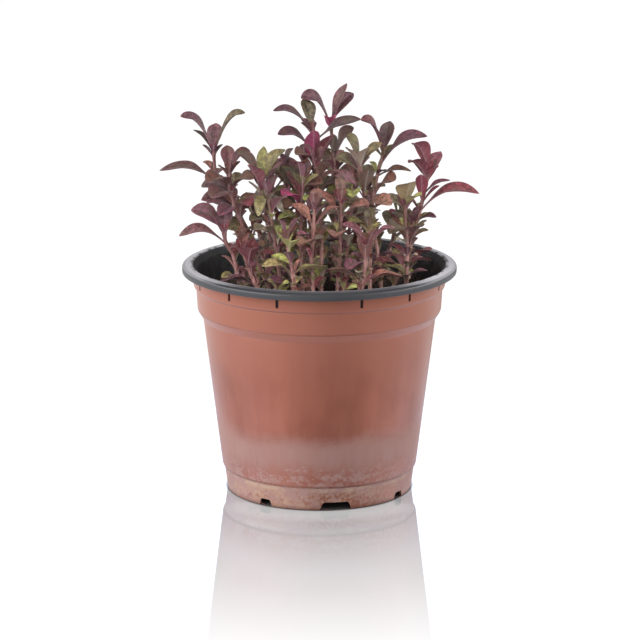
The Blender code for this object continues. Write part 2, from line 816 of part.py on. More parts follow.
def place_shoots(shoots, solids):
    """Each shoot's stem and the leaves that clear everything placed before them."""
    placed = [(None, solid) for solid in solids]
    paths = {name: stem_path(shoot) for name, shoot in shoots.items()}
    for name, path in paths.items():
        stem = tube(path, STEM_SIDES, STEM_FOOT_RADIUS, STEM_TIP_RADIUS)
        placed.append((name, tree_of(stem)))
        stem.free()
    chosen = {name: [] for name in shoots}
    for name, shoot in shoots.items():
        blades = []
        for leaf in shoot.leaves:
            base = point_at_height(paths[name], leaf.height)
            for tip, scale in leaf_variations(base, leaf):
                whole = blade(base, tip, leaf, scale, CLEARANCE)
                outer = blade(base, tip, leaf, scale, CLEARANCE, FORK_SHARE)
                whole_tree, outer_tree = tree_of(whole), tree_of(outer)
                whole.free()
                outer.free()
                others = (tree for owner, tree in placed if owner != name)
                if any(touching(whole_tree, tree) for tree in others):
                    continue
                if any(touching(outer_tree, tree) for tree in blades):
                    continue
                final = blade(base, tip, leaf, scale)
                tree = tree_of(final)
                final.free()
                placed.append((name, tree))
                blades.append(tree)
                chosen[name].append((base, tip, leaf, scale))
                break
    return paths, chosen


def leafy_shoot(name, path, leaves, finish):
    """One stem with its leaves, joined into one body."""
    stem = tube(path, STEM_SIDES, STEM_FOOT_RADIUS, STEM_TIP_RADIUS)
    body = new_object(name, stem, finish)
    members = helper_collection(name + " leaves")
    for leaf in leaves:
        new_object("leaf", blade(*leaf), finish, members)
    modifier = body.modifiers.new("leaves", "BOOLEAN")
    modifier.operation = "UNION"
    join_collection(body, modifier, members)
    return body


def solid_tree(body):
    mesh = bmesh.new()
    mesh.from_mesh(body.data)
    mesh.transform(Matrix.Scale(1 / MM, 4))
    made = tree_of(mesh)
    mesh.free()
    return made


def main():
    for old in list(bpy.data.objects):
        bpy.data.objects.remove(old)
    terracotta = material("terracotta plastic", (0.48, 0.16, 0.09), 0.42)
    black = material("black plastic", (0.02, 0.022, 0.024), 0.38)
    earth = material("potting soil", (0.03, 0.02, 0.014), 0.95)
    foliage = material("alternanthera foliage", (0.12, 0.04, 0.06), 0.5)
    shell = pot_outer_shell(terracotta)
    liner = pot_inner_liner(black)
    shoots = dict(SHOOTS)
    shoots.update(filler_shoots([shoot.foot for shoot in SHOOTS.values()]))
    ground = soil(earth, [shoot.foot for shoot in shoots.values()])
    solids = [solid_tree(body) for body in (shell, liner, ground)]
    paths, leaves = place_shoots(shoots, solids)
    for name in shoots:
        leafy_shoot("shoot_" + name, paths[name], leaves[name], foliage)


main()
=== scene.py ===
"""The looks of a young alternanthera in a 12 cm nursery pot.

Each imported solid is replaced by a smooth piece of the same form: the terracotta-coloured shell, the
black liner, the root ball, and every leafy shoot with its blades, ribs and hairs. Shapes are worked
out in millimetres and stored in metres, with X to the right, Y to the back and Z up.
"""

import json
import math
import random
from typing import NamedTuple

import bmesh
import bpy
import numpy as np
from bpy.props import FloatProperty, FloatVectorProperty, PointerProperty
from mathutils import Matrix, Quaternion, Vector, noise
from mathutils.bvhtree import BVHTree
from mathutils.kdtree import KDTree

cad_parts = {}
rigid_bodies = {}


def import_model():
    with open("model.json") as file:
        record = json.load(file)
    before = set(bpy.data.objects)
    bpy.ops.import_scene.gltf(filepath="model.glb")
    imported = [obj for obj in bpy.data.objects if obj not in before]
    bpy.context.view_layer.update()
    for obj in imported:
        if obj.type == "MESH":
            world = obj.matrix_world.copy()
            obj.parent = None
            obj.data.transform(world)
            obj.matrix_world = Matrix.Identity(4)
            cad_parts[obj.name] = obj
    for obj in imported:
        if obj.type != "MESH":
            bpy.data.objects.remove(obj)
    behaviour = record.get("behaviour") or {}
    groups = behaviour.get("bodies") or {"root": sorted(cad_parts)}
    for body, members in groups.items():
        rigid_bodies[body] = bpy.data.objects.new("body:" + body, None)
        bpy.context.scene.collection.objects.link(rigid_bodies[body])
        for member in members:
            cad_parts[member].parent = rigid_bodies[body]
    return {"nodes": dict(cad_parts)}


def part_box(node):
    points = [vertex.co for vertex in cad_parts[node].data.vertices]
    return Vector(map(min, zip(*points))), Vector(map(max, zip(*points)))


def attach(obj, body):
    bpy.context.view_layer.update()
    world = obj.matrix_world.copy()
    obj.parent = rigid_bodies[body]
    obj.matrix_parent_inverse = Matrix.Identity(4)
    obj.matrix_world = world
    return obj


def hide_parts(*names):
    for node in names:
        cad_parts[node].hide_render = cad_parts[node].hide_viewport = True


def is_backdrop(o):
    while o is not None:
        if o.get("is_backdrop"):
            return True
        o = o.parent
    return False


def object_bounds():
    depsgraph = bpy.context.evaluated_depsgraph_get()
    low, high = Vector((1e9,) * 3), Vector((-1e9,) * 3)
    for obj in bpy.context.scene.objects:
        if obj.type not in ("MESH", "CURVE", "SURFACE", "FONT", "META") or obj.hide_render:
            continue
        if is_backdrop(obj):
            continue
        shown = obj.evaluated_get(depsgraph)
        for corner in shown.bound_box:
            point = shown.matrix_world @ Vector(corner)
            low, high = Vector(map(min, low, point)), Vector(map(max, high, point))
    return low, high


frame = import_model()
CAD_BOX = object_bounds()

bl_info = {
    "name": "Potted alternanthera",
    "version": (1, 0, 0),
    "blender": (4, 5, 0),
    "location": "3D View > Sidebar > Alternanthera",
    "description": "Builds the smooth pot, soil and leafy shoots of a young alternanthera",
    "category": "Object",
}

MM = 0.001
UP = Vector((0, 0, 1))
BODY = "root"

# Pot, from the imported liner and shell
RIM_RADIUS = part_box("pot_inner_liner")[1].x / MM
POT_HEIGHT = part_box("pot_inner_liner")[1].z / MM
SHELL_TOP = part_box("pot_outer_shell")[1].z / MM
FOOT_RADIUS = 40.6
SHELL_WALL = 0.9
LINER_WALL = 0.8
GAP = 0.3
SKIRT_HEIGHT = 3.7
SKIRT_WALL = 1.0
SKIRT_FOOT = POT_HEIGHT - SKIRT_HEIGHT
LIP_THICKNESS = 1.3
RIM_CREST_RADIUS = 55.8
RIM_SHOULDER = (58.9, 0.5)
RIM_EDGE_DROP = 1.2
RIM_INNER_DROP = 0.9
FOOT_RING_HEIGHT = 4.0
FOOT_RING_SLOPE = 0.4
CAVITY_FROM = 10.5
SHELL_FLOOR = 1.0
SHELL_FLOOR_RADIUS = 40.3
LINER_FLOOR_RADIUS = SHELL_FLOOR_RADIUS - GAP
COLLAR_LINE = 91.4
WAIST_LINE = 80.8
FOOT_LINE = 11.1
POT_SEGMENTS = 216

# Outside of the shell from the foot up, as radius and height
SHELL_OUTSIDE = (
    (FOOT_RADIUS, 0.0),
    (41.9, 9.7),
    (42.8, FOOT_LINE),
    (50.9, 77.0),
    (53.3, WAIST_LINE),
    (53.9, 90.4),
    (55.0, COLLAR_LINE),
    (55.2, SHELL_TOP),
)

# Slits through the band under the rim, in degrees from the front
SLIT_ANGLES = tuple(side * (19.0 + 25.3 * turn) for side in (-1, 1) for turn in range(6))
SLIT_WIDTH = 1.3
SLIT_FOOT = 92.6
SLIT_TOP = 101.0
SLIT_ROUNDING = 0.4
SLIT_REACH = (52.0, 57.0)

# Notches in the foot ring: width below, width above and height, and where they are in degrees
WIDE_NOTCH = (14.5, 11.0, 3.7)
NARROW_NOTCH = (6.5, 5.0, 3.2)
WIDE_NOTCHES = (10.0, 104.0, 190.0, 256.0)
NARROW_NOTCHES = (57.5, 145.0, 235.0, 325.0)
NOTCH_REACH = (36.0, 46.0)
NOTCH_ROUNDING = 1.0

# Four drain holes, and how tall the posts are that cut them
FIRST_DRAIN = 10.0
DRAIN_RADIUS = 3.0
DRAIN_CIRCLE = 33.0
DRAIN_SIDES = 24
SHELL_POST = SHELL_FLOOR + 2
LINER_POST = 4.0

# Meshes: longest stretch of an outline, and the creases that stay sharp, in degrees
LONGEST_STRETCH = 4.0
POT_CREASE = 32
SOIL_CREASE = 60
LEAF_CREASE = 50

# Bands on the shell and the liner, each as the heights between which it fades in or out
# The first two bands make the shell lighter towards the rim: painted light from above
SHADE_FADE = (95.0, 50.0)
LIT_TOP_FADE = (45.0, 85.0)
HAZE_TOP = (37.0, 27.0)
HAZE_FOOT = (12.0, 24.0)
CRUST_TOP = (25.0, 17.0)
RING_TOP = (FOOT_LINE - 0.4, FOOT_LINE - 1.0)
SHELF_TOP = (FOOT_LINE - 0.5, FOOT_LINE - 1.1)
SHELF_FOOT = (FOOT_LINE - 4.4, FOOT_LINE - 2.0)
SOILED_TOP = (2.8, 0.6)
RIM_FOOT = (94.0, 96.0)

# Painted shadow lines at the ledges of the shell, by height and half width
PAINTED_SHADOW_LINES = ((FOOT_LINE - 0.2, 0.8), (WAIST_LINE, 0.55), (COLLAR_LINE - 0.6, 0.5))

# Soil
SOIL_TOP = 88.5
SOIL_RADIUS = 51.2
SOIL_SEGMENTS = 150
SOIL_RINGS = 56
SOIL_SHOULDER = 82.0
SOIL_EDGE_DROP = 1.2
SOIL_SUNK = 0.3
SOIL_LUMP = 1.1
LUMPS_PER_MM = 0.11
SOIL_CRUMB = 0.5
CRUMBS_PER_MM = 0.75
CRUMBS = 900
CRUMB_SIZE = (0.3, 1.0)
PERLITE = 16

# Shoots as in the solids
STEM_FOOT_RADIUS = 0.88
STEM_TIP_RADIUS = 0.6
STEM_STEP = 18.0
STEM_DEPTH = 7.0
STEM_UPRIGHT_TO = 92.0
PETIOLE_WIDTH = 1.1
LEAF_LEAN = 20.0
LEAF_TURNS = (0, 7, -7, 14, -14, 22, -22, 32, -32, 45, -45)
LEAF_LIFTS = (0, 7, -7, 15, -15, 25)
LEAF_SCALES = (1.0, 0.86, 0.72)
TIP_MATCH = 0.05
FILLER_COUNT = 35
GOLDEN_ANGLE = 137.508
FILLER_FEET = (33.0, 35.0)
FILLER_SPREAD = 1.26
FILLER_TOP = 149.0
FILLER_DROP = 20.0
FILLER_BACK_DROP = 0.15
FILLER_UNEVEN = 26.0
FILLER_BEND = 1.15
FILLER_SWAY = 2.5
FEET_APART = 6.4

# Behind this line a shoot between has two pairs of leaves, before it three
FILLER_BACK = 12.0

# Pairs of leaves on the shoots between: distance under the head, length and rise in degrees
FILLER_PAIRS = ((1, 10, 62), (8, 15, 36), (17, 16, 14))

# How far those leaves swing and tilt in degrees, and their length, width, arch and lean
FILLER_SWING = (-14, 14)
FILLER_TILT = (-12, 12)
FILLER_LENGTH = (0.85, 1.12)
FILLER_WIDTH = (0.38, 0.46)
FILLER_ARCH = (0.15, 0.32)
FILLER_LEAN = (-8, 24)
SEED = 7

# Fine surface of the shoots: how much wider blades are than their solids, their points along and across
# the blade, and the slant of their veins
WIDER = 1.12
BLADE_POINTS = (30, 13)
SMALL_POINTS = (15, 7)
VEIN_PAIRS = 6
VEIN_SLANT = 1.15
STEM_SIDES = 14
STEM_FINE_STEP = 1.6
STEM_RIBS = 4
STEM_RIB_HEIGHT = 0.06
NODE_SWELLING = 0.24
NODE_REACH = 1.1
FOOT_SWELLING = 0.25
FOOT_REACH = 3.0

# Blades: twist in degrees, waves of the edge along a blade in radians, and how far the arch's pull is
# along the way to the tip
BLADE_TWIST = 8
EDGE_WAVES = 9.5
ARCH_AT = (0.4, 0.4, 0.55)

# Outline of a blade: the rise and the arch from which it is steep or broad, each with its range, the
# share of a long leaf that is petiole, from what length on, and where along a leaf it is widest
STEEP = (0.66, 0.24)
BROAD = (0.2, 0.2)
PETIOLE_SHARE = 0.2
PETIOLE_FROM = 9
WIDEST_AT = 0.55

# Face of a blade: the width from which it is fully waved and quilted, and how wide its rib is
FULL_RELIEF_WIDTH = 7
RIB_WIDTH = 0.42

# Hairs at each node: how far up and down they stand, their rise, their length and their radius to the end
HAIRS_AT_NODE = 10
HAIR_SPREAD = (-1.5, 1.5)
HAIR_RISE = (-0.2, 0.7)
HAIR_LENGTH = (0.7, 1.4)
HAIR_RADII = ((0.0, 0.035), (0.55, 0.022), (1.0, 0.004))

# How bright blades and stems are against their tints
BLADE_BRIGHTNESS = (0.58, 1.42)
STEM_BRIGHTNESS = (0.66, 1.16)

# How far a blade's tint may go to brown or moss, and how much of a leaf runs into the stem's colour
TINT_MIXED = 0.25
STEM_COLOURED = 0.25

# How far light scatters in leaves and stems, as shares of red, green and blue
SCATTER = (1.0, 0.4, 0.3)

# Young leaves between the large ones, closer together near the soil
ROOM_TO_SOLIDS = 0.7
ROOM_TO_SMALL = 1.1
SMALL_FIRST = (1.5, 5.0)
SMALL_SPACING = (2.4, 6.5)
SMALL_UNEVEN = 2.0
SMALL_LENGTH = (4.5, 10.5)
SMALL_SWING = (-60, 60)
SMALL_RISE = (10, 62)
SMALL_WIDTH = (0.34, 0.48)
SMALL_ARCH = (0.05, 0.3)
SMALL_LEAN = (-10, 30)
SMALL_TRIES = 8
SHORTER_EACH_TRY = 0.07
SMALL_UNDER_HEAD = 9.0

# Heads: how far down they reach, and how much thicker their stems and leaf bases are
HEAD_ZONE = 11.0
HEAD_SWELLING = 0.2
HEAD_SHEATH = 0.9

# Buds: pairs of the youngest leaves in a head, by length and rise in degrees
BUD_PAIRS = ((8.0, 46), (6.0, 62), (4.0, 78))
BUD_DROP = 2.2
BUD_STEP = 0.7
BUD_SWING = (-20, 20)
BUD_TILT = (-8, 8)
BUD_LENGTH = (0.8, 1.15)
BUD_WIDTH = (0.36, 0.46)
BUD_ARCH = 0.05
BUD_SHEATH = 0.3
BUD_TINTS = ("mauve", "maroon", "maroon", "olive", "sage", "brown", "moss", "plum")
HEAD_TINTS = {"tall_right": "magenta", "right": "crimson"}

# Below this height leaves and stems are painted lighter towards the soil, as painted light
PAINTED_LIGHT_BELOW = 154.0
PAINTED_LIGHT_DEPTH = 52.0

# Camera that took the photograph, fitted to the ellipses of the pot: metres, degrees, millimetres and pixels
CAMERA_BACK = 1.4
CAMERA_HEIGHT = 0.4144
CAMERA_PITCH = 13.63
CAMERA_LENS = 184.67
CAMERA_SENSOR = 36.0
PHOTO_CENTRE = 319.4
PHOTO_SIZE = 640

# Floor, in metres: from a painted shadow under the pot to white beside it, the painted shade before it, and
# the mirror's end
CONTACT = (0.0402, 0.0425)
SHADE_END = CONTACT[1] + 0.018
GLOW_SHADED = 0.46
MIRROR_SHADED = 0.7
MIRROR_END = 0.245
MIRROR_TINT = (0.61, 0.69, 0.9)

# Sides of the floor, seen from the pot: x or y over the distance from the middle
LEFT_PANEL = (0.0, -0.28)
RIGHT_PANEL = (0.45, 0.7)
BEFORE = (-0.55, -0.8)

# World: the sine of the height where the walls end, and y where they are dimmed behind the pot
WALL_END = (math.sin(math.radians(23)), math.sin(math.radians(33)))
BACK_WALL = (0.5, 0.85)

# Soft lights: degrees above the floor, then distance, width and height in metres
LAMPS = {
    "key_left": (28, 1.3, 1.3, 0.9),
    "fill_right": (26, 1.3, 1.3, 0.9),
    "top": (84, 1.8, 1.6, 1.6),
    "front": (22, 1.5, 0.8, 0.5),
}
FRONT_SIDE = 6
AIMED_AT = 0.1
FLOOR_SIZE = 6.0
FRONT_LIT = "lit by the front light"


class Leaf(NamedTuple):
    """A leaf by the height where it leaves the stem, its tip, its width and its arch.

    Lean is how many degrees its upper face turns to the front, where the light comes from.
    """

    height: float
    tip: tuple
    width: float
    arch: float
    lean: float = LEAF_LEAN


class Shoot(NamedTuple):
    """A stem by its foot in the soil and the points that it passes, with its leaves.

    For each leaf, tints has the colour of its upper face, rolls how many degrees it turns on its own
    axis, where the photograph shows its broad side, and leans how many degrees further it turns to
    the front than its solid does.
    """

    foot: tuple
    stem: tuple
    leaves: tuple
    tints: str = ""
    rolls: tuple = ()
    leans: tuple = ()


SHOOTS = {
    "upper_left": Shoot(
        foot=(-27, 8),
        stem=((-35, 6, 110), (-42, 4, 127), (-45, 3, 139), (-46, 2, 150)),
        leaves=(
            Leaf(150, (-60, -3, 166), 7, 0.37), Leaf(149, (-55, 9, 158), 3.5, 0.2, 0),
            Leaf(149, (-45, 9, 161), 6, 0.1), Leaf(149, (-32, 0, 167), 6, 0.4, 10),
            Leaf(136, (-69.4, -2, 142), 7.5, 0.25, 10), Leaf(126, (-34, 18, 126), 7, 0.2),
            Leaf(124, (-49, 16, 124), 7, 0.2),
        ),
        tints="plum plum mauve moss plum brown plum",
        leans=(4, 0, 0, 10, 9, 0, 0),
    ),
    "left_front": Shoot(
        foot=(-22, -10),
        stem=((-30, -12, 111), (-35, -14, 125), (-38, -14, 135), (-39, -13, 144)),
        leaves=(
            Leaf(143, (-40, -6, 154), 5.5, 0.1), Leaf(138, (-48, -24, 141), 9.5, 0.35),
            Leaf(134, (-46, -27, 135), 9.5, 0.25, 30), Leaf(134, (-51, -10, 137), 9, 0.3, 30),
            Leaf(142, (-35, -4, 152), 4.5, 0.5), Leaf(136, (-28, -20, 142), 8, 0.3),
            Leaf(129, (-29, -24, 131), 6.5, 0.2, 30), Leaf(128, (-43, -26, 127), 7, 0.2),
        ),
        tints="maroon brown plum plum maroon brown maroon plum",
    ),
    "low_left": Shoot(
        foot=(-34, -18),
        stem=((-37, -21, 108), (-40, -22, 114), (-41, -23, 120)),
        leaves=(
            Leaf(118, (-55, -24, 129), 8, 0.3, 40), Leaf(114, (-60, -30, 119), 7.5, 0.33, 8),
            Leaf(119, (-41, -17, 129), 6.5, 0.1), Leaf(112, (-30, -27, 112), 6, 0.25),
        ),
        tints="plum plum plum maroon",
        leans=(0, 12, 0, 0),
    ),
    "purple_mass": Shoot(
        foot=(-19, 0),
        stem=((-26, -2, 106), (-32, -4, 118), (-37, -6, 127)),
        leaves=(
            Leaf(126, (-51, -12, 131), 8, 0.25, 30), Leaf(127, (-43, 4, 133), 7, 0.15),
            Leaf(126, (-32, -16, 128), 5, 0.3), Leaf(112, (-40, -14, 119), 8.5, 0.28, 40),
            Leaf(114, (-24, -8, 125), 6.5, 0.2, 35), Leaf(122, (-27, 8, 130), 7, 0.2),
        ),
        tints="plum maroon moss moss rust brown",
    ),
    "funnel": Shoot(
        foot=(-16, -12),
        stem=((-17, -14, 102), (-21, -16, 114), (-23, -17, 126), (-25, -17, 137)),
        leaves=(
            Leaf(135, (-28, -25, 149), 7.5, 0.08), Leaf(136, (-16, -19, 149), 7.5, 0.12),
            Leaf(137, (-33, -9, 153), 6.5, 0.3), Leaf(137, (-24, -8, 154), 4.5, 0.05),
            Leaf(137, (-14, -12, 153), 6.3, 0.3), Leaf(134, (-26, -27, 127), 4.5, 0.45),
            Leaf(133, (-20, -27, 128), 4.5, 0.45), Leaf(126, (-12, -21, 130), 7.5, 0.3),
            Leaf(122, (-30, -22, 124), 6.5, 0.3),
        ),
        tints="maroon mauve brown lime olive olive sage brown moss",
    ),
    "inner_left": Shoot(
        foot=(-5, -6),
        stem=((-7, -8, 110), (-6, -9, 120), (-9, -10, 129), (-9, -10, 134)),
        leaves=(
            Leaf(132, (-17, -6, 145), 8.5, 0.12, 40), Leaf(128, (-14, -24, 135), 7, 0.3, 40),
            Leaf(125, (-20, -14, 132), 7, 0.3, 30), Leaf(133, (-5, 0, 147), 6, 0.05),
            Leaf(131, (3, -19, 136), 7.5, 0.3, 30), Leaf(121, (5, -15, 127), 7.5, 0.3, 30),
            Leaf(117, (-16, -17, 119), 7.5, 0.3, 40),
        ),
        tints="moss magenta moss rust brown moss olive",
    ),
    "tall_left": Shoot(
        foot=(0, 3),
        stem=((-1, 2, 106), (-1, 1, 122), (-2, 0, 139), (-3, 0, 160)),
        leaves=(
            Leaf(159, (-20, -6, 169), 6.5, 0.3, 10), Leaf(160, (-7, 5, 172.5), 6.2, 0.1),
            Leaf(157, (-8, 4, 164), 3, 0.2), Leaf(150, (-18, -8, 159), 8, 0.3, 25),
            Leaf(143, (-6, -8, 161), 7, 0.05), Leaf(142, (4, -9, 159), 7, 0.05),
            Leaf(154, (18, -10, 166), 7.5, 0.12, 25), Leaf(144, (-13, -10, 151), 7.5, 0.25, 30),
            Leaf(129, (8, -8, 138), 7.5, 0.25, 30), Leaf(127, (-9, 14, 135), 7, 0.25),
        ),
        tints="plum moss plum plum magenta crimson plum rust brown moss",
        rolls=(0, 0, 0, 0, 30, -14, 0, 0, 0, 0),
        leans=(12, 0, 0, 5, 0, 0, 6, 0, 0, 0),
    ),
    "tall_right": Shoot(
        foot=(8, 7),
        stem=((7, 7, 109), (6, 7, 127), (6, 7, 145), (5, 6, 161)),
        leaves=(
            Leaf(160, (12, 12, 178), 4.8, 0.12), Leaf(160, (15, 15, 173), 5.5, 0.25, 40),
            Leaf(160, (-8, 2, 173), 7.5, 0.5, 30), Leaf(160, (2, -1, 166), 3.2, 0.1),
            Leaf(145, (15, 3, 160), 8.5, 0.15, 50), Leaf(148, (6, -1, 158), 3.5, 0.02),
            Leaf(143, (-4, 12, 147), 7, 0.25), Leaf(138, (15, -1, 141), 7, 0.3),
            Leaf(130, (-4, 17, 133), 7, 0.3), Leaf(129, (15, 14, 131), 7, 0.3),
        ),
        tints="mauve plum plum magenta brown sage brown rust moss plum",
    ),
    "grey_green": Shoot(
        foot=(22, -9),
        stem=((22, -9, 111), (21, -10, 125), (19, -10, 135), (17, -10, 146)),
        leaves=(
            Leaf(145, (11, -16, 155), 5, 0.1), Leaf(146, (12, -6, 159), 4.5, 0.3, 30),
            Leaf(144, (27, -12, 156), 7, 0.1, 40), Leaf(144, (17, -18, 154), 5.5, 0.1),
            Leaf(142, (7, -12, 149), 7, 0.3, 35), Leaf(134, (21, -18, 145), 6, 0.05),
            Leaf(131, (7, -18, 143), 7, 0.2, 40), Leaf(128, (12, -23, 132), 7, 0.3),
            Leaf(128, (31, -18, 130), 7.5, 0.3, 30), Leaf(118, (12, -16, 121), 7, 0.3),
        ),
        tints="sage olive olive sage moss moss mauve moss rust olive",
    ),
    "right_top": Shoot(
        foot=(27, 6),
        stem=((25, 6, 107), (23, 6, 121), (25, 7, 137), (28, 8, 148)),
        leaves=(
            Leaf(148, (18, 4, 163), 6.5, 0.45, 30), Leaf(148, (31, 14, 161), 6, 0.08),
            Leaf(143, (47, 4, 156), 7.5, 0.3), Leaf(138, (40, 2, 141), 5, 0.2, 0),
            Leaf(130, (33, -3, 138), 8.5, 0.25, 40), Leaf(134, (16, 20, 139), 7, 0.2),
            Leaf(122, (33, 20, 125), 7, 0.25),
        ),
        tints="maroon plum plum brown rust moss plum",
        leans=(8, 0, 10, 12, 0, 0, 0),
    ),
    "green_round": Shoot(
        foot=(38, -9),
        stem=((38, -9, 111), (37, -9, 122), (37, -9, 128)),
        leaves=(
            Leaf(127, (39, -13, 139), 9, 0.22, 30), Leaf(127, (44, -16, 134), 6, 0.2),
            Leaf(125, (28, -13, 131), 7.5, 0.3, 30), Leaf(117, (30, -21, 118), 7.5, 0.3, 30),
        ),
        tints="olive lime moss moss",
    ),
    "right": Shoot(
        foot=(38, 4),
        stem=((39, 3, 103), (41, 3, 113), (44.5, 3, 126), (47.5, 3, 141)),
        leaves=(
            Leaf(141, (39, 2, 153.5), 7.5, 0.45, 45), Leaf(137, (38.5, -2, 145.5), 7, 0.45, 40),
            Leaf(134, (53, 9, 148.5), 7.5, 0.08), Leaf(131, (57, 2, 137), 3, 0.2),
            Leaf(127, (44, -5, 141), 5, 0.03), Leaf(127, (49, -4, 141), 5, 0.05),
            Leaf(123, (69.4, -3, 132), 8, 0.34, 10), Leaf(119, (51, 0, 121), 4, 0.2),
            Leaf(115, (32, 16, 120), 7, 0.25),
        ),
        tints="crimson maroon mauve plum crimson crimson maroon plum moss",
        rolls=(56, 46, 0, 0, 0, 0, 0, 0, 0),
        leans=(0, 0, 0, 0, 0, 0, 13, 0, 0),
    ),
    "red_sprout": Shoot(
        foot=(-33, 6),
        stem=((-33, 5, 97),),
        leaves=(
            Leaf(95, (-38, 3, 99), 3, 0.1), Leaf(95, (-29, 5, 99), 3, 0.1),
        ),
        tints="crimson crimson",
    ),
    "inside_right": Shoot(
        foot=(40, 22),
        stem=((41, 21, 97),),
        leaves=(Leaf(95, (49, 11, 104), 6, 0.2),),
        tints="crimson",
    ),
    "lime_sprout": Shoot(
        foot=(10, -31),
        stem=((11, -32, 96),),
        leaves=(
            Leaf(94, (16, -36, 98), 4, 0.25, 30), Leaf(95, (8, -35, 101), 4, 0.2, 30),
        ),
        tints="lime lime",
    ),
    "olive_sprout": Shoot(
        foot=(-18, -28),
        stem=((-18, -29, 96),),
        leaves=(
            Leaf(94, (-13, -32, 99), 4, 0.25, 30), Leaf(95, (-22, -32, 100), 3.5, 0.2, 30),
        ),
        tints="lime olive",
    ),
}

FILLER_TINTS = ("plum", "maroon", "brown", "moss", "olive", "lime", "sage", "rust", "mauve")

# How often each of those tints comes, at the head of a shoot and at the lowest pair
FILLER_SHARES = ((4, 4, 3, 4, 5, 2, 2, 1, 1), (1, 2, 4, 4, 7, 4, 2, 2, 1))


def linear(red, green, blue):
    """A screen colour from 0 to 255 as the linear values that a shader takes."""
    shares = (value / 255 for value in (red, green, blue))
    return tuple(((share + 0.055) / 1.055) ** 2.4 if share > 0.04 else share / 12.92 for share in shares)


def length_property(name, description, millimetres):
    return FloatProperty(
        name=name, description=description, default=millimetres * MM, min=0.0, unit="LENGTH", precision=5
    )


def amount_property(name, description, default):
    return FloatProperty(name=name, description=description, default=default, min=0.0)


def share_property(name, description, default):
    return FloatProperty(
        name=name, description=description, default=default, min=0.0, max=1.0, subtype="FACTOR"
    )


def side_property(name, description, degrees):
    return FloatProperty(name=name, description=description, default=degrees, min=-180.0, max=180.0)


def colour_property(name, description, *screen):
    return FloatVectorProperty(
        name=name, description=description, default=linear(*screen), subtype="COLOR", min=0.0, max=1.0
    )


class PotLook(bpy.types.PropertyGroup):
    """Edges and colours of the pot."""

    edge_radius: length_property("Edge radius", "Rounding of the shell's and the rim's edges", 0.6)
    terracotta: colour_property("Terracotta", "Clean plastic of the shell", 137, 83, 69)
    terracotta_shade: colour_property("Terracotta shade", "Darker clouds in the plastic", 122, 71, 60)
    # Painted light: a lighter terracotta towards the rim, where light falls from above
    lit_terracotta_top: colour_property("Terracotta top", "Clean plastic towards the rim", 150, 97, 84)
    chalk: colour_property("Chalk", "Dried minerals towards the foot", 158, 130, 124)
    lime_scale: colour_property("Lime scale", "Thicker minerals on the foot ring", 182, 160, 138)
    # Grime at the foot's bottom edge, and also the colour of the painted shadow lines at the ledges
    grime_and_shadow: colour_property("Grime", "Dirt in the line above the foot", 92, 54, 46)
    # Partly the liner's own black plastic, partly painted shade: the inside is painted darker than the rim's
    # plastic
    black: colour_property("Black plastic", "Inside of the liner", 30, 29, 31)
    slate: colour_property("Slate", "Skirt of the rim", 52, 53, 57)
    # Partly real dust, partly a painted highlight on the rim's top at its ends and crest
    dust_and_highlight: colour_property("Dust", "Top of the rim", 212, 210, 216)


class SoilLook(bpy.types.PropertyGroup):
    """Crumbs and colours of the soil."""

    crumb: length_property("Crumb", "Size of the larger crumbs", 1.5)
    peat: colour_property("Peat", "Moist soil", 57, 45, 40)
    fibre: colour_property("Fibre", "Drier crumbs", 99, 81, 67)
    perlite: colour_property("Perlite", "Pale grains", 196, 190, 182)


class PlantLook(bpy.types.PropertyGroup):
    """Blades, stems and their colours."""

    blade: length_property("Blade thickness", "Thickness of a blade beside its rib", 0.28)
    rib: length_property("Rib height", "Height of the rib under a blade at its base", 0.5)
    quilting: length_property("Quilting", "Rise of the blade between its veins", 0.1)
    wave: length_property("Wave", "Waving of the blade's edge", 0.22)
    fold: share_property("Fold", "Rise of a blade's edge as a share of its half width", 0.38)
    # Painted light: how much lighter the shoots are painted towards the soil
    paler: amount_property("Paler below", "How much paler the shoots are at the soil", 0.95)
    hair: length_property("Hair length", "Length of the hairs at the nodes", 1.1)
    plum: colour_property("Plum", "Dark purple blades", 73, 39, 51)
    maroon: colour_property("Maroon", "Red-purple blades", 88, 35, 45)
    mauve: colour_property("Mauve", "Paler young blades", 110, 67, 77)
    crimson: colour_property("Crimson", "Red blades", 118, 42, 58)
    magenta: colour_property("Magenta", "Bright young blades", 158, 50, 100)
    brown: colour_property("Brown", "Brown blades", 92, 60, 50)
    rust: colour_property("Rust", "Orange-brown blades", 114, 74, 64)
    moss: colour_property("Moss", "Dark green blades", 80, 73, 52)
    olive: colour_property("Olive", "Green blades", 104, 98, 60)
    lime: colour_property("Lime", "Bright green blades", 114, 118, 62)
    sage: colour_property("Sage", "Grey-green blades", 130, 122, 106)
    underside: colour_property("Underside", "Flush under the blades", 122, 76, 88)
    stem_foot: colour_property("Stem foot", "Stem near the soil", 156, 122, 114)
    stem_middle: colour_property("Stem middle", "Stem half way up", 138, 102, 100)
    stem_head: colour_property("Stem head", "Stem under the head", 116, 82, 86)
    hairs: colour_property("Hairs", "Pale hairs", 232, 214, 214)


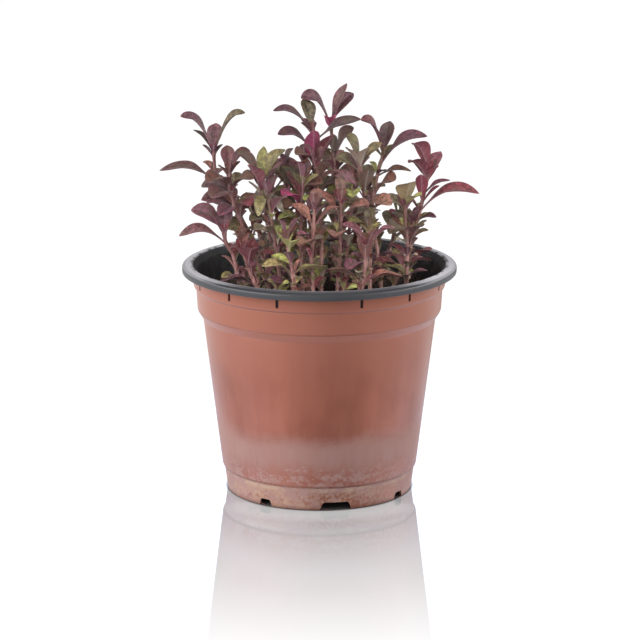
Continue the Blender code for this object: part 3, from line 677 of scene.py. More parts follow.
class StudioLook(bpy.types.PropertyGroup):
    """Light and floor of the studio."""

    wall: amount_property("Walls", "Brightness of the white walls", 1.3)
    sky: amount_property("Ceiling", "Brightness of the ceiling", 0.16)
    back: share_property("Back wall", "Share of the wall's light that is left behind the pot", 0.35)
    spill: share_property("Spill", "Share of the walls' light that falls on the plant", 0.35)
    front: amount_property("Front floor", "Light from the floor in front of the pot", 0.4)
    left: amount_property("Left floor", "Light that the floor adds on the left", 0.82)
    right: amount_property("Right floor", "Light that the floor adds on the right", 0.28)
    shine: amount_property("Shine", "How much brighter glossy plastic sees the floor's sides", 3.0)
    key: amount_property("Key", "Brightness of the soft light on the left", 1.2)
    key_side: side_property("Key side", "Degrees from the front to the light on the left", -64.0)
    fill: amount_property("Fill", "Brightness of the soft light on the right", 0.8)
    fill_side: side_property("Fill side", "Degrees from the front to the light on the right", 84.0)
    front_light: amount_property("Front light", "Brightness of the light that only falls on the shoots", 0.66)
    top: amount_property("Top", "Brightness of the soft light above", 0.2)
    gloss: share_property("Floor gloss", "Share of mirror in the floor at the pot", 0.74)
    floor: colour_property("Floor", "Pale floor", 250, 250, 250)


class AlternantheraLook(bpy.types.PropertyGroup):
    """All that a user may change before the pieces are built."""

    pot: PointerProperty(type=PotLook)
    soil: PointerProperty(type=SoilLook)
    plant: PointerProperty(type=PlantLook)
    studio: PointerProperty(type=StudioLook)


def maths(operation, swapped=False):
    """A method that adds a Math node on a wire and one other value."""

    def method(wire, other=0.0):
        first, second = (other, wire) if swapped else (wire, other)
        return wire.paint.node("Math", {"operation": operation}, {0: first, 1: second})

    return method


class Wire:
    """A socket of a material or world, on which Python's operators add Math nodes."""

    def __init__(self, paint, socket):
        self.paint = paint
        self.socket = socket

    __add__ = __radd__ = maths("ADD")
    __sub__ = maths("SUBTRACT")
    __rsub__ = maths("SUBTRACT", swapped=True)
    __mul__ = __rmul__ = maths("MULTIPLY")
    __truediv__ = maths("DIVIDE")
    __pow__ = maths("POWER")
    __abs__ = maths("ABSOLUTE")
    at_least = maths("MAXIMUM")


class Paint:
    """A new material, or a new world, and the ways to add to its nodes."""

    def __init__(self, owner):
        owner.use_nodes = True
        self.owner = owner
        self.tree = owner.node_tree
        self.shader = self.tree.nodes.get("Principled BSDF") or self.tree.nodes["Background"]

    def node(self, kind, settings=None, values=None, output=0):
        """Adds a node: its settings are made first, then its sockets get their values or links."""
        made = self.tree.nodes.new("ShaderNode" + kind)
        for name, value in (settings or {}).items():
            setattr(made, name, value)
        for name, value in (values or {}).items():
            self.feed(made.inputs[name], value)
        return Wire(self, made.outputs[output])

    def feed(self, socket, value):
        if isinstance(value, Wire):
            self.tree.links.new(value.socket, socket)
        elif socket.type == "RGBA":
            socket.default_value = (*value, 1.0)
        else:
            socket.default_value = value

    def finish(self, **values):
        """Sets the shader's sockets, whose names are written with _ for a space, and gives back the owner."""
        for name, value in values.items():
            self.feed(self.shader.inputs[name.replace("_", " ")], value)
        return self.owner

    def place(self):
        """The place on the surface, in the object's own metres."""
        return self.node("TexCoord", output="Object")

    def axes(self, vector):
        split = self.node("SeparateXYZ", values={0: vector}).socket.node
        return [Wire(self, socket) for socket in split.outputs]

    def attribute(self, name, output="Vector"):
        return self.node("Attribute", {"attribute_name": name}, output=output)

    def mix(self, share, first, second, blend="MIX"):
        settings = {"data_type": "RGBA", "blend_type": blend}
        return self.node("Mix", settings, {0: share, 6: first, 7: second}, output=2)

    def step(self, value, low, high, start=0.0, end=1.0):
        """A smooth step from start at low to end at high, which may be under low."""
        if low > high:
            low, high, start, end = high, low, end, start
        values = {0: value, 1: low, 2: high, 3: start, 4: end}
        return self.node("MapRange", {"interpolation_type": "SMOOTHSTEP"}, values)

    def cloud(self, size, detail=3.0, stretch=(1, 1, 1), roughness=0.5):
        """Noise from 0 to 1 whose patches are about size millimetres wide."""
        scale = tuple(factor / (size * MM) for factor in stretch)
        place = self.node("VectorMath", {"operation": "MULTIPLY"}, {0: self.place(), 1: scale})
        values = {"Vector": place, "Scale": 1.0, "Detail": detail, "Roughness": roughness}
        return self.node("TexNoise", values=values)

    def bump(self, height, strength, distance):
        """A Bump node on a height from 0 to 1, with its distance in millimetres."""
        return self.node("Bump", values={"Strength": strength, "Distance": distance * MM, "Height": height})


def terracotta_finish(look):
    """Thin moulded plastic, clouded and streaked, with a chalky band towards the foot, painted light towards
    the rim and painted shadow lines at its ledges.
    """
    paint = Paint(bpy.data.materials.new("terracotta_plastic"))
    height = paint.axes(paint.place())[2] / MM
    cloud = paint.cloud(22.0)
    streaks = paint.cloud(3.6, detail=4.0, stretch=(1, 1, 0.09))
    grain = paint.cloud(1.3, detail=6.0)
    patches = paint.cloud(7.0, detail=6.0, stretch=(1, 1, 2.0), roughness=0.72)
    blots = paint.cloud(13.0, detail=4.0, roughness=0.6)
    # Painted light: the darker clouds fade out and the plastic turns lighter towards the rim
    shade = paint.step(cloud * 0.7 + streaks * 0.3, 0.38, 0.66) * paint.step(height, *SHADE_FADE)
    clean = paint.mix(shade, look.terracotta, look.terracotta_shade)
    clean = paint.mix(paint.step(height, *LIT_TOP_FADE) * 0.7, clean, look.lit_terracotta_top)
    ragged = height + (cloud - 0.5) * 10 + (streaks - 0.5) * 6 + (grain - 0.5) * 3
    haze = paint.step(ragged, *HAZE_TOP) * paint.step(ragged, *HAZE_FOOT) * (0.45 + 0.5 * streaks)
    worn = paint.step(patches * 0.65 + grain * 0.35, 0.57, 0.43)
    crust = paint.step(ragged, *CRUST_TOP) * (0.1 + 0.72 * worn)
    bare = paint.step(blots * 0.75 + grain * 0.25, 0.48, 0.58)
    ring = paint.step(height, *RING_TOP) * (0.9 - 0.75 * bare) * (0.65 + 0.35 * worn)
    shelf = paint.step(height, *SHELF_TOP) * paint.step(height, *SHELF_FOOT)
    chalk = haze.at_least(crust).at_least(ring).at_least(shelf * (0.7 + 0.3 * grain))
    uneven = (grain - 0.5) * 0.4
    # Painted shadow: thin dark lines at the ledges of the foot, the waist and the collar
    painted_shadow_lines = sum(1 - paint.step(abs(height - line + uneven), 0.1, half) for line, half in PAINTED_SHADOW_LINES)
    scale = paint.step(height, FOOT_LINE, FOOT_LINE - 1.0) * paint.step(patches, 0.42, 0.62)
    mineral = paint.mix(scale, look.chalk, look.lime_scale)
    soiled = paint.step(height + grain * 0.8, *SOILED_TOP) * 0.5
    colour = paint.mix(painted_shadow_lines * 0.5, paint.mix(chalk, clean, mineral), look.grime_and_shadow)
    colour = paint.mix(soiled, colour, look.grime_and_shadow)
    relief = grain * 0.5 + streaks * 0.2 + chalk * patches * 0.8
    return paint.finish(
        Base_Color=colour,
        Roughness=0.3 + chalk * 0.3 + grain * 0.06,
        Normal=paint.bump(relief, 0.3, 0.25),
        Specular_IOR_Level=1.0,
        Specular_Tint=(1.0, 0.4, 0.24),
    )


def black_finish(look):
    """Semi-gloss plastic, black inside with painted shade and painted glints, and slate on the rim, whose
    dusty top has painted highlights at its ends and crest and painted shade at its outer edge.
    """
    paint = Paint(bpy.data.materials.new("black_plastic"))
    x, y, z = paint.axes(paint.place())
    height = z / MM
    out = (x * x + y * y) ** 0.5 / MM
    facing = paint.axes(paint.node("NewGeometry", output="Normal"))[2]
    smudges = paint.cloud(9.0, detail=5.0)
    specks = paint.cloud(1.2, detail=4.0)
    past_crest = out - RIM_CREST_RADIUS
    rim = paint.step(past_crest, -0.8, -0.2) * paint.step(height, *RIM_FOOT)
    # Painted highlights: more dust towards the rim's left and right ends, most on the right, and along the
    # crest; painted shade: less at the outer edge
    beside = paint.step(abs(x) / MM / out, 0.5, 0.97)
    lip = paint.step(past_crest, 1.0, 0.2)
    inward = RIM_RADIUS - out
    shaded_brim = paint.step(inward, 1.7, 0.9) * paint.step(inward, 0.1, 0.5)
    chips = paint.step(past_crest, 1.2, 0.3) * paint.step(paint.cloud(4.0), 0.47, 0.55)
    right = paint.step(x / MM, 0.0, 40.0)
    worn = (0.08 + (0.75 + 0.12 * right) * beside + 0.36 * lip - 0.4 * shaded_brim) * (0.8 + 0.5 * smudges)
    worn = worn * (1 - chips * beside * 0.85)
    # Dust on the rim's upward faces, with the painted highlights and painted shade in it
    dust_and_highlight_share = paint.step(facing, 0.45, 0.9) * rim * worn
    # Film on the inside, with painted glints of the crinkled plastic added towards the right
    film_and_glints = paint.step(smudges * 0.7 + specks * 0.3, 0.44, 0.66)
    film_and_glints = film_and_glints * (0.2 + 0.35 * paint.step(x / MM, 20.0, 50.0))
    inner = paint.mix(film_and_glints * 0.3, look.black, look.dust_and_highlight)
    skirt = paint.mix(rim * (0.85 + 0.15 * specks), inner, look.slate)
    return paint.finish(
        Base_Color=paint.mix(dust_and_highlight_share, skirt, look.dust_and_highlight),
        Roughness=0.55 - 0.22 * rim + smudges * 0.16,
        Normal=paint.bump(smudges * 0.5 + specks * 0.5, 0.25, 0.2),
    )


def soil_finish(look):
    """Moist peat: crumbs and fibres in dark browns, and pale grains of perlite."""
    paint = Paint(bpy.data.materials.new("potting_soil"))
    crumbs = paint.cloud(1.3, detail=6.0, roughness=0.7)
    damp = paint.cloud(12.0)
    pale = paint.attribute("pale", output="Fac")
    brown = paint.mix(paint.step(crumbs * 0.75 + damp * 0.25, 0.42, 0.72), look.peat, look.fibre)
    return paint.finish(
        Base_Color=paint.mix(pale, brown, look.perlite),
        Roughness=0.82 + crumbs * 0.16,
        Normal=paint.bump(crumbs, 0.9, 0.5),
    )


def leaf_finish(look):
    """Blades with their rib and veins, flushed purple at the edge and paler underneath."""
    paint = Paint(bpy.data.materials.new("alternanthera_leaf"))
    tint = paint.attribute("tint", output="Color")
    along, across, half = paint.axes(paint.attribute("blade"))
    upper = paint.attribute("upper", output="Fac")
    out = abs(across)
    mottling = paint.cloud(1.4, detail=5.0, roughness=0.65)
    flush = paint.cloud(7.0, detail=3.0)
    cells = paint.node("TexVoronoi", {"feature": "DISTANCE_TO_EDGE"}, {"Scale": 1300.0}, output="Distance")
    net = 1 - paint.step(cells, 0.02, 0.16)
    rib = 1 - paint.step(out * half, 0.1, 0.36)
    phase = along * VEIN_PAIRS - out * VEIN_SLANT
    swing = paint.node("Math", {"operation": "PINGPONG"}, {0: phase, 1: 0.5})
    vein = (1 - paint.step(swing, 0.02, 0.11)) * paint.step(half, 1.2, 2.2) * (1 - out * 0.5)
    edge = paint.step(out + mottling * 0.25, 0.72, 1.1)
    light = paint.mix(paint.step(mottling, 0.34, 0.68), (0.42, 0.42, 0.42), (1.74, 1.68, 1.68))
    face = paint.mix(1.0, tint, light, "MULTIPLY")
    face = paint.mix(paint.step(flush, 0.48, 0.66) * (1 - edge) * 0.4, face, look.moss)
    face = paint.mix(edge * 0.3, face, look.plum)
    face = paint.mix(vein * 0.14 + net * 0.1, face, look.brown)
    face = paint.mix(rib * 0.16, face, look.mauve)
    below = paint.mix(0.28, tint, look.underside)
    below = paint.mix(vein * 0.1 + rib * 0.12, below, look.hairs)
    return paint.finish(
        Base_Color=paint.mix(upper, below, face),
        Roughness=0.5 - upper * 0.16 + mottling * 0.08,
        Normal=paint.bump(mottling * 0.4 + net * -0.3 - vein * 0.7, 0.55, 0.16),
        Subsurface_Weight=0.15,
        Subsurface_Radius=SCATTER,
        Subsurface_Scale=0.0012,
        Specular_IOR_Level=0.48,
        Sheen_Weight=0.08,
        Sheen_Roughness=0.4,
    )


def stem_finish(look):
    """Juicy stems with fine streaks along them."""
    paint = Paint(bpy.data.materials.new("alternanthera_stem"))
    tint = paint.attribute("tint", output="Color")
    streaks = paint.cloud(0.8, stretch=(1, 1, 0.08))
    mottling = paint.cloud(3.0, detail=5.0)
    lighter = paint.step(streaks * 0.6 + mottling * 0.4, 0.36, 0.66)
    light = paint.mix(lighter, (0.5, 0.44, 0.44), (1.36, 1.3, 1.28))
    colour = paint.mix(1.0, tint, light, "MULTIPLY")
    woody = paint.step(paint.cloud(7.0, stretch=(1, 1, 0.4)), 0.46, 0.66)
    colour = paint.mix(woody * 0.5, colour, look.brown)
    return paint.finish(
        Base_Color=colour,
        Roughness=0.4 + mottling * 0.15,
        Normal=paint.bump(streaks, 0.4, 0.12),
        Subsurface_Weight=0.12,
        Subsurface_Radius=SCATTER,
        Subsurface_Scale=0.001,
        Specular_IOR_Level=0.35,
    )


def around(radius, degrees, height):
    """A point by its degrees from the front, counted towards +X."""
    angle = math.radians(degrees)
    return Vector((radius * math.sin(angle), -radius * math.cos(angle), height))


def rounded(profile, radius, steps=4):
    """A closed profile with its corners turned into curves that start radius before them."""
    result = []
    count = len(profile)
    for index, corner in enumerate(map(Vector, profile)):
        before = Vector(profile[index - 1]) - corner
        after = Vector(profile[(index + 1) % count]) - corner
        reach_before = min(radius, before.length * 0.45)
        reach_after = min(radius, after.length * 0.45)
        start = corner + before.normalized() * reach_before
        end = corner + after.normalized() * reach_after
        for step in range(steps + 1):
            share = step / steps
            low = start.lerp(corner, share)
            result.append(tuple(low.lerp(corner.lerp(end, share), share)))
    return result


def split_long(profile, longest):
    """A closed profile with points added so that no stretch is longer than the given length."""
    result = []
    for start, end in zip(profile, profile[1:] + profile[:1]):
        start, end = Vector(start), Vector(end)
        pieces = max(1, math.ceil((end - start).length / longest))
        result += [tuple(start.lerp(end, piece / pieces)) for piece in range(pieces)]
    return result


def join_loops(mesh, loop, following):
    """Faces between two closed loops with the same number of points."""
    for k in range(len(loop)):
        after = (k + 1) % len(loop)
        mesh.faces.new((loop[k], following[k], following[after], loop[after]))


def turned_ring(profile, segments):
    """A closed profile of radius and height, turned once round the Z axis."""
    mesh = bmesh.new()
    loops = []
    for index in range(segments):
        degrees = 360 * index / segments
        loops.append([mesh.verts.new(around(radius, degrees, height)) for radius, height in profile])
    for loop, following in zip(loops, loops[1:] + loops[:1]):
        join_loops(mesh, loop, following)
    return mesh


def smooth(data, crease):
    """Shades a mesh smoothly between creases of that many degrees."""
    data.shade_smooth()
    data.set_sharp_from_angle(angle=math.radians(crease))


def shown(name, data, collection=None):
    """A new object in the scene, or in the given collection."""
    made = bpy.data.objects.new(name, data)
    (collection or bpy.context.scene.collection).objects.link(made)
    return made


def new_piece(name, mesh, finish, crease=POT_CREASE, collection=None):
    """An object in metres from a bmesh in millimetres."""
    mesh.transform(Matrix.Scale(MM, 4))
    bmesh.ops.recalc_face_normals(mesh, faces=mesh.faces)
    data = bpy.data.meshes.new(name)
    mesh.to_mesh(data)
    mesh.free()
    data.materials.append(finish)
    smooth(data, crease)
    return shown(name, data, collection)


def dress(piece, node):
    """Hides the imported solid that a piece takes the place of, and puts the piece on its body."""
    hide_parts(node)
    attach(piece, BODY)


def inset_profile(profile, wall):
    """The inner side of a wall, from the top down, without the foot ring's points."""
    upper = [point for point in reversed(profile) if point[1] > CAVITY_FROM]
    return [(radius - wall, height) for radius, height in upper]


def block_across_ring(degrees, reach, outline):
    """A block through a ring wall; its outline gives places along the ring and their heights."""
    middle = around(1.0, degrees, 0)
    side = UP.cross(middle)
    mesh = bmesh.new()
    near, far = ([mesh.verts.new(middle * away + side * x + UP * z) for x, z in outline] for away in reach)
    mesh.faces.new(near)
    mesh.faces.new(list(reversed(far)))
    join_loops(mesh, near, far)
    return mesh


def cut_openings(piece, cutters, finish):
    """Takes the cutters away from a piece and deletes them."""
    group = bpy.data.collections.new(piece.name + "_cutters")
    bpy.context.scene.collection.children.link(group)
    for mesh in cutters:
        new_piece("cutter", mesh, finish, collection=group)
    modifier = piece.modifiers.new("openings", "BOOLEAN")
    modifier.operation = "DIFFERENCE"
    modifier.operand_type = "COLLECTION"
    modifier.collection = group
    graph = bpy.context.evaluated_depsgraph_get()
    result = bpy.data.meshes.new_from_object(piece.evaluated_get(graph))
    piece.modifiers.remove(modifier)
    result.name = piece.name
    piece.data = result
    for member in list(group.objects):
        bpy.data.objects.remove(member)
    bpy.data.collections.remove(group)
    smooth(result, POT_CREASE)


def drain_posts(bottom, height):
    """Round posts through the floor where the drain holes are."""
    posts = []
    for turn in range(4):
        mesh = bmesh.new()
        size = {"radius1": DRAIN_RADIUS, "radius2": DRAIN_RADIUS, "depth": height}
        bmesh.ops.create_cone(mesh, cap_ends=True, segments=DRAIN_SIDES, **size)
        centre = around(DRAIN_CIRCLE, FIRST_DRAIN + 90 * turn, bottom + height / 2)
        bmesh.ops.translate(mesh, vec=centre, verts=mesh.verts)
        posts.append(mesh)
    return posts


def notch_outline(notch):
    """The open trapezoid of a notch with rounded upper corners and a foot flared outwards."""
    lower, upper, height = notch
    corners = ((-lower / 2, 0.0), (lower / 2, 0.0), (upper / 2, height), (-upper / 2, height))
    soft = rounded(corners, NOTCH_ROUNDING)
    below = -1.0
    return [(lower / 2 + 0.2, below), *[point for point in soft if point[1] > 0.0], (-lower / 2 - 0.2, below)]


def shell_profile(look):
    floor = FOOT_RING_HEIGHT + SHELL_FLOOR
    corners = [
        *SHELL_OUTSIDE,
        *inset_profile(SHELL_OUTSIDE, SHELL_WALL),
        (SHELL_FLOOR_RADIUS, floor),
        (DRAIN_RADIUS, floor),
        (DRAIN_RADIUS, FOOT_RING_HEIGHT),
        (FOOT_RADIUS + FOOT_RING_SLOPE - SHELL_WALL, FOOT_RING_HEIGHT),
        (FOOT_RADIUS - SHELL_WALL, 0.0),
    ]
    return split_long(rounded(corners, look.edge_radius / MM), LONGEST_STRETCH)


def liner_profile(look):
    outside = inset_profile(SHELL_OUTSIDE, SHELL_WALL + GAP)
    inner_wall = SHELL_WALL + GAP + LINER_WALL
    inside = [point for point in inset_profile(SHELL_OUTSIDE, inner_wall)[1:] if point[1] < COLLAR_LINE - 2]
    under = FOOT_RING_HEIGHT + SHELL_FLOOR + GAP
    floor = under + LINER_WALL
    lip = POT_HEIGHT - LIP_THICKNESS
    wall_top = outside[0][0]
    corners = [
        (RIM_RADIUS, SKIRT_FOOT),
        (RIM_RADIUS, POT_HEIGHT - RIM_EDGE_DROP),
        (RIM_SHOULDER[0], POT_HEIGHT - RIM_SHOULDER[1]),
        (RIM_CREST_RADIUS, POT_HEIGHT),
        (RIM_CREST_RADIUS - 1.0, POT_HEIGHT - RIM_INNER_DROP),
        (wall_top - LINER_WALL, POT_HEIGHT - 3 * RIM_INNER_DROP),
        *inside,
        (LINER_FLOOR_RADIUS - LINER_WALL, floor),
        (DRAIN_RADIUS, floor),
        (DRAIN_RADIUS, under),
        (LINER_FLOOR_RADIUS, under),
        *reversed(outside[1:]),
        (wall_top, lip),
        (RIM_RADIUS - SKIRT_WALL, lip),
        (RIM_RADIUS - SKIRT_WALL, SKIRT_FOOT),
    ]
    return split_long(rounded(corners, look.edge_radius / MM), LONGEST_STRETCH)


def smooth_path(points, step):
    """Points about one step apart on a smooth curve through the given points."""
    ends = [2 * points[0] - points[1], *points, 2 * points[-1] - points[-2]]
    path = [points[0]]
    for p0, p1, p2, p3 in zip(ends, ends[1:], ends[2:], ends[3:]):
        pieces = max(1, round((p2 - p1).length / step))
        for piece in range(1, pieces + 1):
            t = piece / pieces
            square = (2 * p0 - 5 * p1 + 4 * p2 - p3) * t**2
            cube = (3 * p1 - p0 - 3 * p2 + p3) * t**3
            path.append(0.5 * (2 * p1 + (p2 - p0) * t + square + cube))
    return path


def stem_path(shoot, step):
    """The middle of a stem, from its foot in the soil to its head."""
    x, y = shoot.foot
    foot = Vector((x, y, SOIL_TOP - STEM_DEPTH))
    upright = Vector((x, y, STEM_UPRIGHT_TO))
    return [foot, *smooth_path([upright, *map(Vector, shoot.stem)], step)]


def point_at_height(path, height):
    for low, high in zip(path, path[1:]):
        if low.z <= height <= high.z:
            return low.lerp(high, (height - low.z) / (high.z - low.z))
    return path[-1].copy()


def leaf_side(reach, lean):
    """The direction across a leaf whose upper face turns by lean degrees to the front."""
    angle = math.radians(lean)
    face = Vector((0, -math.sin(angle), math.cos(angle)))
    return face.cross(Vector((reach.x, reach.y, 0))).normalized()


def leaf_variations(base, leaf):
    """The leaf's tip and scale as planned, then turned, lifted and shortened a little."""
    reach = Vector(leaf.tip) - base
    side = leaf_side(reach, 0)
    for scale in LEAF_SCALES:
        for lift in LEAF_LIFTS:
            for turn in LEAF_TURNS:
                raised = Quaternion(side, math.radians(-lift)) @ reach
                swung = Quaternion(UP, math.radians(turn)) @ raised
                yield base + swung * scale, scale


def filler_shoots(taken):
    """Shoots on a spiral between the placed ones, with opposite leaves a quarter turn apart."""
    draw = random.Random(SEED)
    shoots = {}
    for index in range(FILLER_COUNT):
        share = math.sqrt((index + 0.5) / FILLER_COUNT)
        angle = index * math.radians(GOLDEN_ANGLE)
        x = FILLER_FEET[0] * share * math.cos(angle)
        y = FILLER_FEET[1] * share * math.sin(angle)
        lean = draw.uniform(-FILLER_SWAY, FILLER_SWAY)
        sway = draw.uniform(-FILLER_SWAY, FILLER_SWAY)
        top = FILLER_TOP - FILLER_DROP * share**2 - FILLER_BACK_DROP * y
        top -= draw.uniform(0, FILLER_UNEVEN)
        heading = draw.uniform(0, 90)
        if any(math.dist((x, y), other) < FEET_APART for other in taken):
            continue
        taken.append((x, y))
        head = Vector((x * FILLER_SPREAD + lean, y * FILLER_SPREAD + sway, top))
        middle = Vector((x * FILLER_BEND, y * FILLER_BEND, (SOIL_TOP + top) / 2))
        shoots[f"filler_{len(shoots) + 1:02d}"] = Shoot(
            foot=(x, y),
            stem=(tuple(middle), tuple(head)),
            leaves=tuple(filler_leaves(draw, middle, head, heading)),
        )
    return shoots


def filler_leaves(draw, middle, head, heading):
    """Two or three pairs of leaves: short and upright at the head, longer and flatter below it."""
    pairs = FILLER_PAIRS[:2] if middle.y > FILLER_BACK else FILLER_PAIRS
    for level, (drop, length, rise) in enumerate(pairs):
        height = head.z - drop
        stem = middle.lerp(head, (height - middle.z) / (head.z - middle.z))
        for opposite in (0, 180):
            angle = math.radians(heading + 90 * level + opposite + draw.uniform(*FILLER_SWING))
            lift = math.radians(rise + draw.uniform(*FILLER_TILT))
            reach = length * draw.uniform(*FILLER_LENGTH)
            flat = math.cos(lift) * reach
            rise_to_tip = math.sin(lift) * reach
            tip = stem + Vector((flat * math.cos(angle), flat * math.sin(angle), rise_to_tip))
            width = reach * draw.uniform(*FILLER_WIDTH)
            yield Leaf(height, tuple(tip), width, draw.uniform(*FILLER_ARCH), draw.uniform(*FILLER_LEAN))


def all_shoots():
    return {**SHOOTS, **filler_shoots([shoot.foot for shoot in SHOOTS.values()])}


def leaf_tints(shoot, draw):
    """The names of the tints of a shoot's leaves."""
    if shoot.tints:
        return shoot.tints.split()
    tints = []
    levels = len(shoot.leaves) // 2
    for level in range(levels):
        share = level / max(1, levels - 1)
        weights = [high + (low - high) * share for high, low in zip(*FILLER_SHARES)]
        tints += draw.choices(FILLER_TINTS, weights, k=1) * 2
    return tints


class Growth:
    """Rings of points, lofted into closed tubes, with what the finishes read at each point."""

    LEAF, STEM = range(2)

    def __init__(self):
        self.points = []
        self.faces = []
        self.blade = []
        self.upper = []
        self.tint = []
        self.finish = []

    def loft(self, rings, tint, finish, blade=None, upper=None):
        """Adds one closed tube from an array of rings, each with the same number of points."""
        stations, sides, _ = rings.shape
        first = len(self.points)
        self.points.extend(rings.reshape(-1, 3).tolist())
        self.blade.extend((np.zeros(rings.shape) if blade is None else blade).reshape(-1, 3).tolist())
        self.upper.extend((np.zeros((stations, sides)) if upper is None else upper).reshape(-1).tolist())
        self.tint.extend(np.broadcast_to(tint, rings.shape).reshape(-1, 3).tolist())
        for station in range(stations - 1):
            low = first + station * sides
            for side in range(sides):
                after = (side + 1) % sides
                self.faces.append((low + side, low + after, low + sides + after, low + sides + side))
        last = first + (stations - 1) * sides
        self.faces.append(tuple(range(first + sides - 1, first - 1, -1)))
        self.faces.append(tuple(range(last, last + sides)))
        self.finish.extend([finish] * ((stations - 1) * sides + 2))

    def piece(self, name, finishes):
        data = bpy.data.meshes.new(name)
        data.from_pydata(np.array(self.points) * MM, [], self.faces)
        for attribute, kind, field, values in (
            ("blade", "FLOAT_VECTOR", "vector", self.blade),
            ("upper", "FLOAT", "value", self.upper),
            ("tint", "FLOAT_COLOR", "color", [(*tint, 1.0) for tint in self.tint]),
        ):
            layer = data.attributes.new(attribute, kind, "POINT")
            layer.data.foreach_set(field, np.array(values, np.float32).reshape(-1))
        for finish in finishes:
            data.materials.append(finish)
        data.polygons.foreach_set("material_index", np.array(self.finish, np.int32))
        data.update()
        smooth(data, LEAF_CREASE)
        return shown(name, data)


def unit(vectors):
    return vectors / np.linalg.norm(vectors, axis=-1, keepdims=True)


def clamped(value):
    return min(1.0, max(0.0, value))


def rising(flat, degrees):
    """A level direction raised by some degrees."""
    angle = math.radians(degrees)
    return flat * math.cos(angle) + UP * math.sin(angle)


class BladeForm(NamedTuple):
    """How one leaf is drawn: its place, width and arch, its turns in degrees, and how finely."""

    base: Vector
    tip: Vector
    width: float
    arch: float
    lean: float = LEAF_LEAN
    sheath: float = 0.0
    points: tuple = SMALL_POINTS
    roll: float = 0.0


def blade_fullness(share, start, peak, blunt, slender):
    """How wide a leaf is along its length, from 0 to 1; blunt goes from 0, drawn out, to 1, round."""
    rise = np.clip((share - start) / (peak - start), 0, 1)
    fall = np.clip((share - peak) / (1 - peak), 0, 1)
    grown = (0.5 - 0.5 * np.cos(math.pi * rise)) ** slender
    return grown * (1 - fall ** (2.1 + 0.4 * blunt)) ** (0.88 - 0.28 * blunt)


def blade_spine(form, reach, t, draw):
    """The middle of a leaf along its length, and the directions across it and out of its face."""
    base, tip = np.array(form.base), np.array(form.tip)
    bend = base + reach * ARCH_AT + np.array((0, 0, form.arch * np.linalg.norm(reach)))
    spine = base * (1 - t) ** 2 + 2 * bend * t * (1 - t) + tip * t**2
    ahead = unit(2 * (1 - t) * (bend - base) + 2 * t * (tip - bend))
    side = np.array(leaf_side(Vector(reach), form.lean))
    across = unit(side - ahead * (ahead @ side)[:, None])
    normal = np.cross(ahead, across)
    roll = math.radians(draw.uniform(-BLADE_TWIST, BLADE_TWIST)) * t + math.radians(form.roll)
    cosine, sine = np.cos(roll), np.sin(roll)
    return spine, across * cosine + normal * sine, normal * cosine - across * sine


def blade_widths(form, reach, t, draw):
    """How full a blade is along its length, how wide its sheath is, and half of the leaf's width."""
    length = np.linalg.norm(reach)
    steep = clamped((reach[2] / length - STEEP[0]) / STEEP[1])
    broad = clamped((form.arch - BROAD[0]) / BROAD[1])
    long = clamped((length - PETIOLE_FROM) / PETIOLE_FROM)
    start = PETIOLE_SHARE * (1 - steep) * long * (1 - 0.5 * broad)
    blunt = max(draw.random() ** 2.2, 0.55 * broad) * (1 - steep)
    full = blade_fullness(t, start, WIDEST_AT + 0.07 * steep, blunt, 0.8 - 0.25 * broad)
    sheath = form.sheath * (1 - t) ** 1.4
    petiole = PETIOLE_WIDTH / 2 * (1 - t) ** 0.8
    return full, sheath, np.sqrt(petiole**2 + sheath**2 + (WIDER * form.width / 2 * full) ** 2) + 0.02


def blade_rings(form, look, draw):
    """Rings round a leaf: over its upper face from edge to edge, and back under it.

    Along a leaf t goes from 0 at the stem to 1 at the tip, and across it v from -1 to 1.
    """
    stations, points_across = form.points
    t = 1 - (1 - np.linspace(0.0, 1.0, stations)[:, None]) ** 1.15
    over = np.linspace(-1, 1, points_across)
    v = np.concatenate([over, over[-2:0:-1]])[None, :]
    top = np.concatenate([np.ones(points_across), -np.ones(points_across - 2)])[None, :]
    reach = np.array(form.tip) - np.array(form.base)
    spine, across, normal = blade_spine(form, reach, t, draw)
    full, sheath, h = blade_widths(form, reach, t, draw)

    # The upper face: a gutter with a waved edge, quilted between the veins
    small = min(1.0, form.width / FULL_RELIEF_WIDTH)
    gutter = look.fold * np.maximum(full, np.clip(sheath, 0, 1))
    rise = gutter * h * (1.5 * np.abs(v) - 0.5 * v**2)
    right, left = [np.sin(EDGE_WAVES * t + draw.uniform(0, math.tau)) for _ in range(2)]
    rise = rise + look.wave / MM * full * v**2 * np.where(v > 0, right, left) * small
    veins = 0.5 - 0.5 * np.cos(math.tau * (VEIN_PAIRS * t - VEIN_SLANT * np.abs(v)))
    puff = veins * (1 - np.abs(v) ** 3) * np.clip(h * np.abs(v) / 0.8, 0, 1)
    rise = rise + look.quilting / MM * (puff - 0.4) * small * full

    # The blade thins to its edge, with a keel under the rib
    thick = look.blade / MM / 2 * np.sqrt(np.clip(1 - v**2, 0, 1)) * np.clip(h / 0.3, 0, 1)
    keel = look.rib / MM * (1 - 0.75 * t) * np.exp(-((v * h / RIB_WIDTH) ** 2))
    keel = keel * np.clip(h / 0.5, 0, 1) * (1 - v**2)
    lift = rise + np.where(top > 0, thick, -thick - keel)
    rings = spine[:, None] + across[:, None] * (h * v)[..., None] + normal[:, None] * lift[..., None]
    marks = np.stack(np.broadcast_arrays(t, v, h), axis=-1)
    upper = np.broadcast_to(np.where(np.abs(v) > 0.999, 0.5, (top + 1) / 2), rings.shape[:2])
    return rings, marks, upper


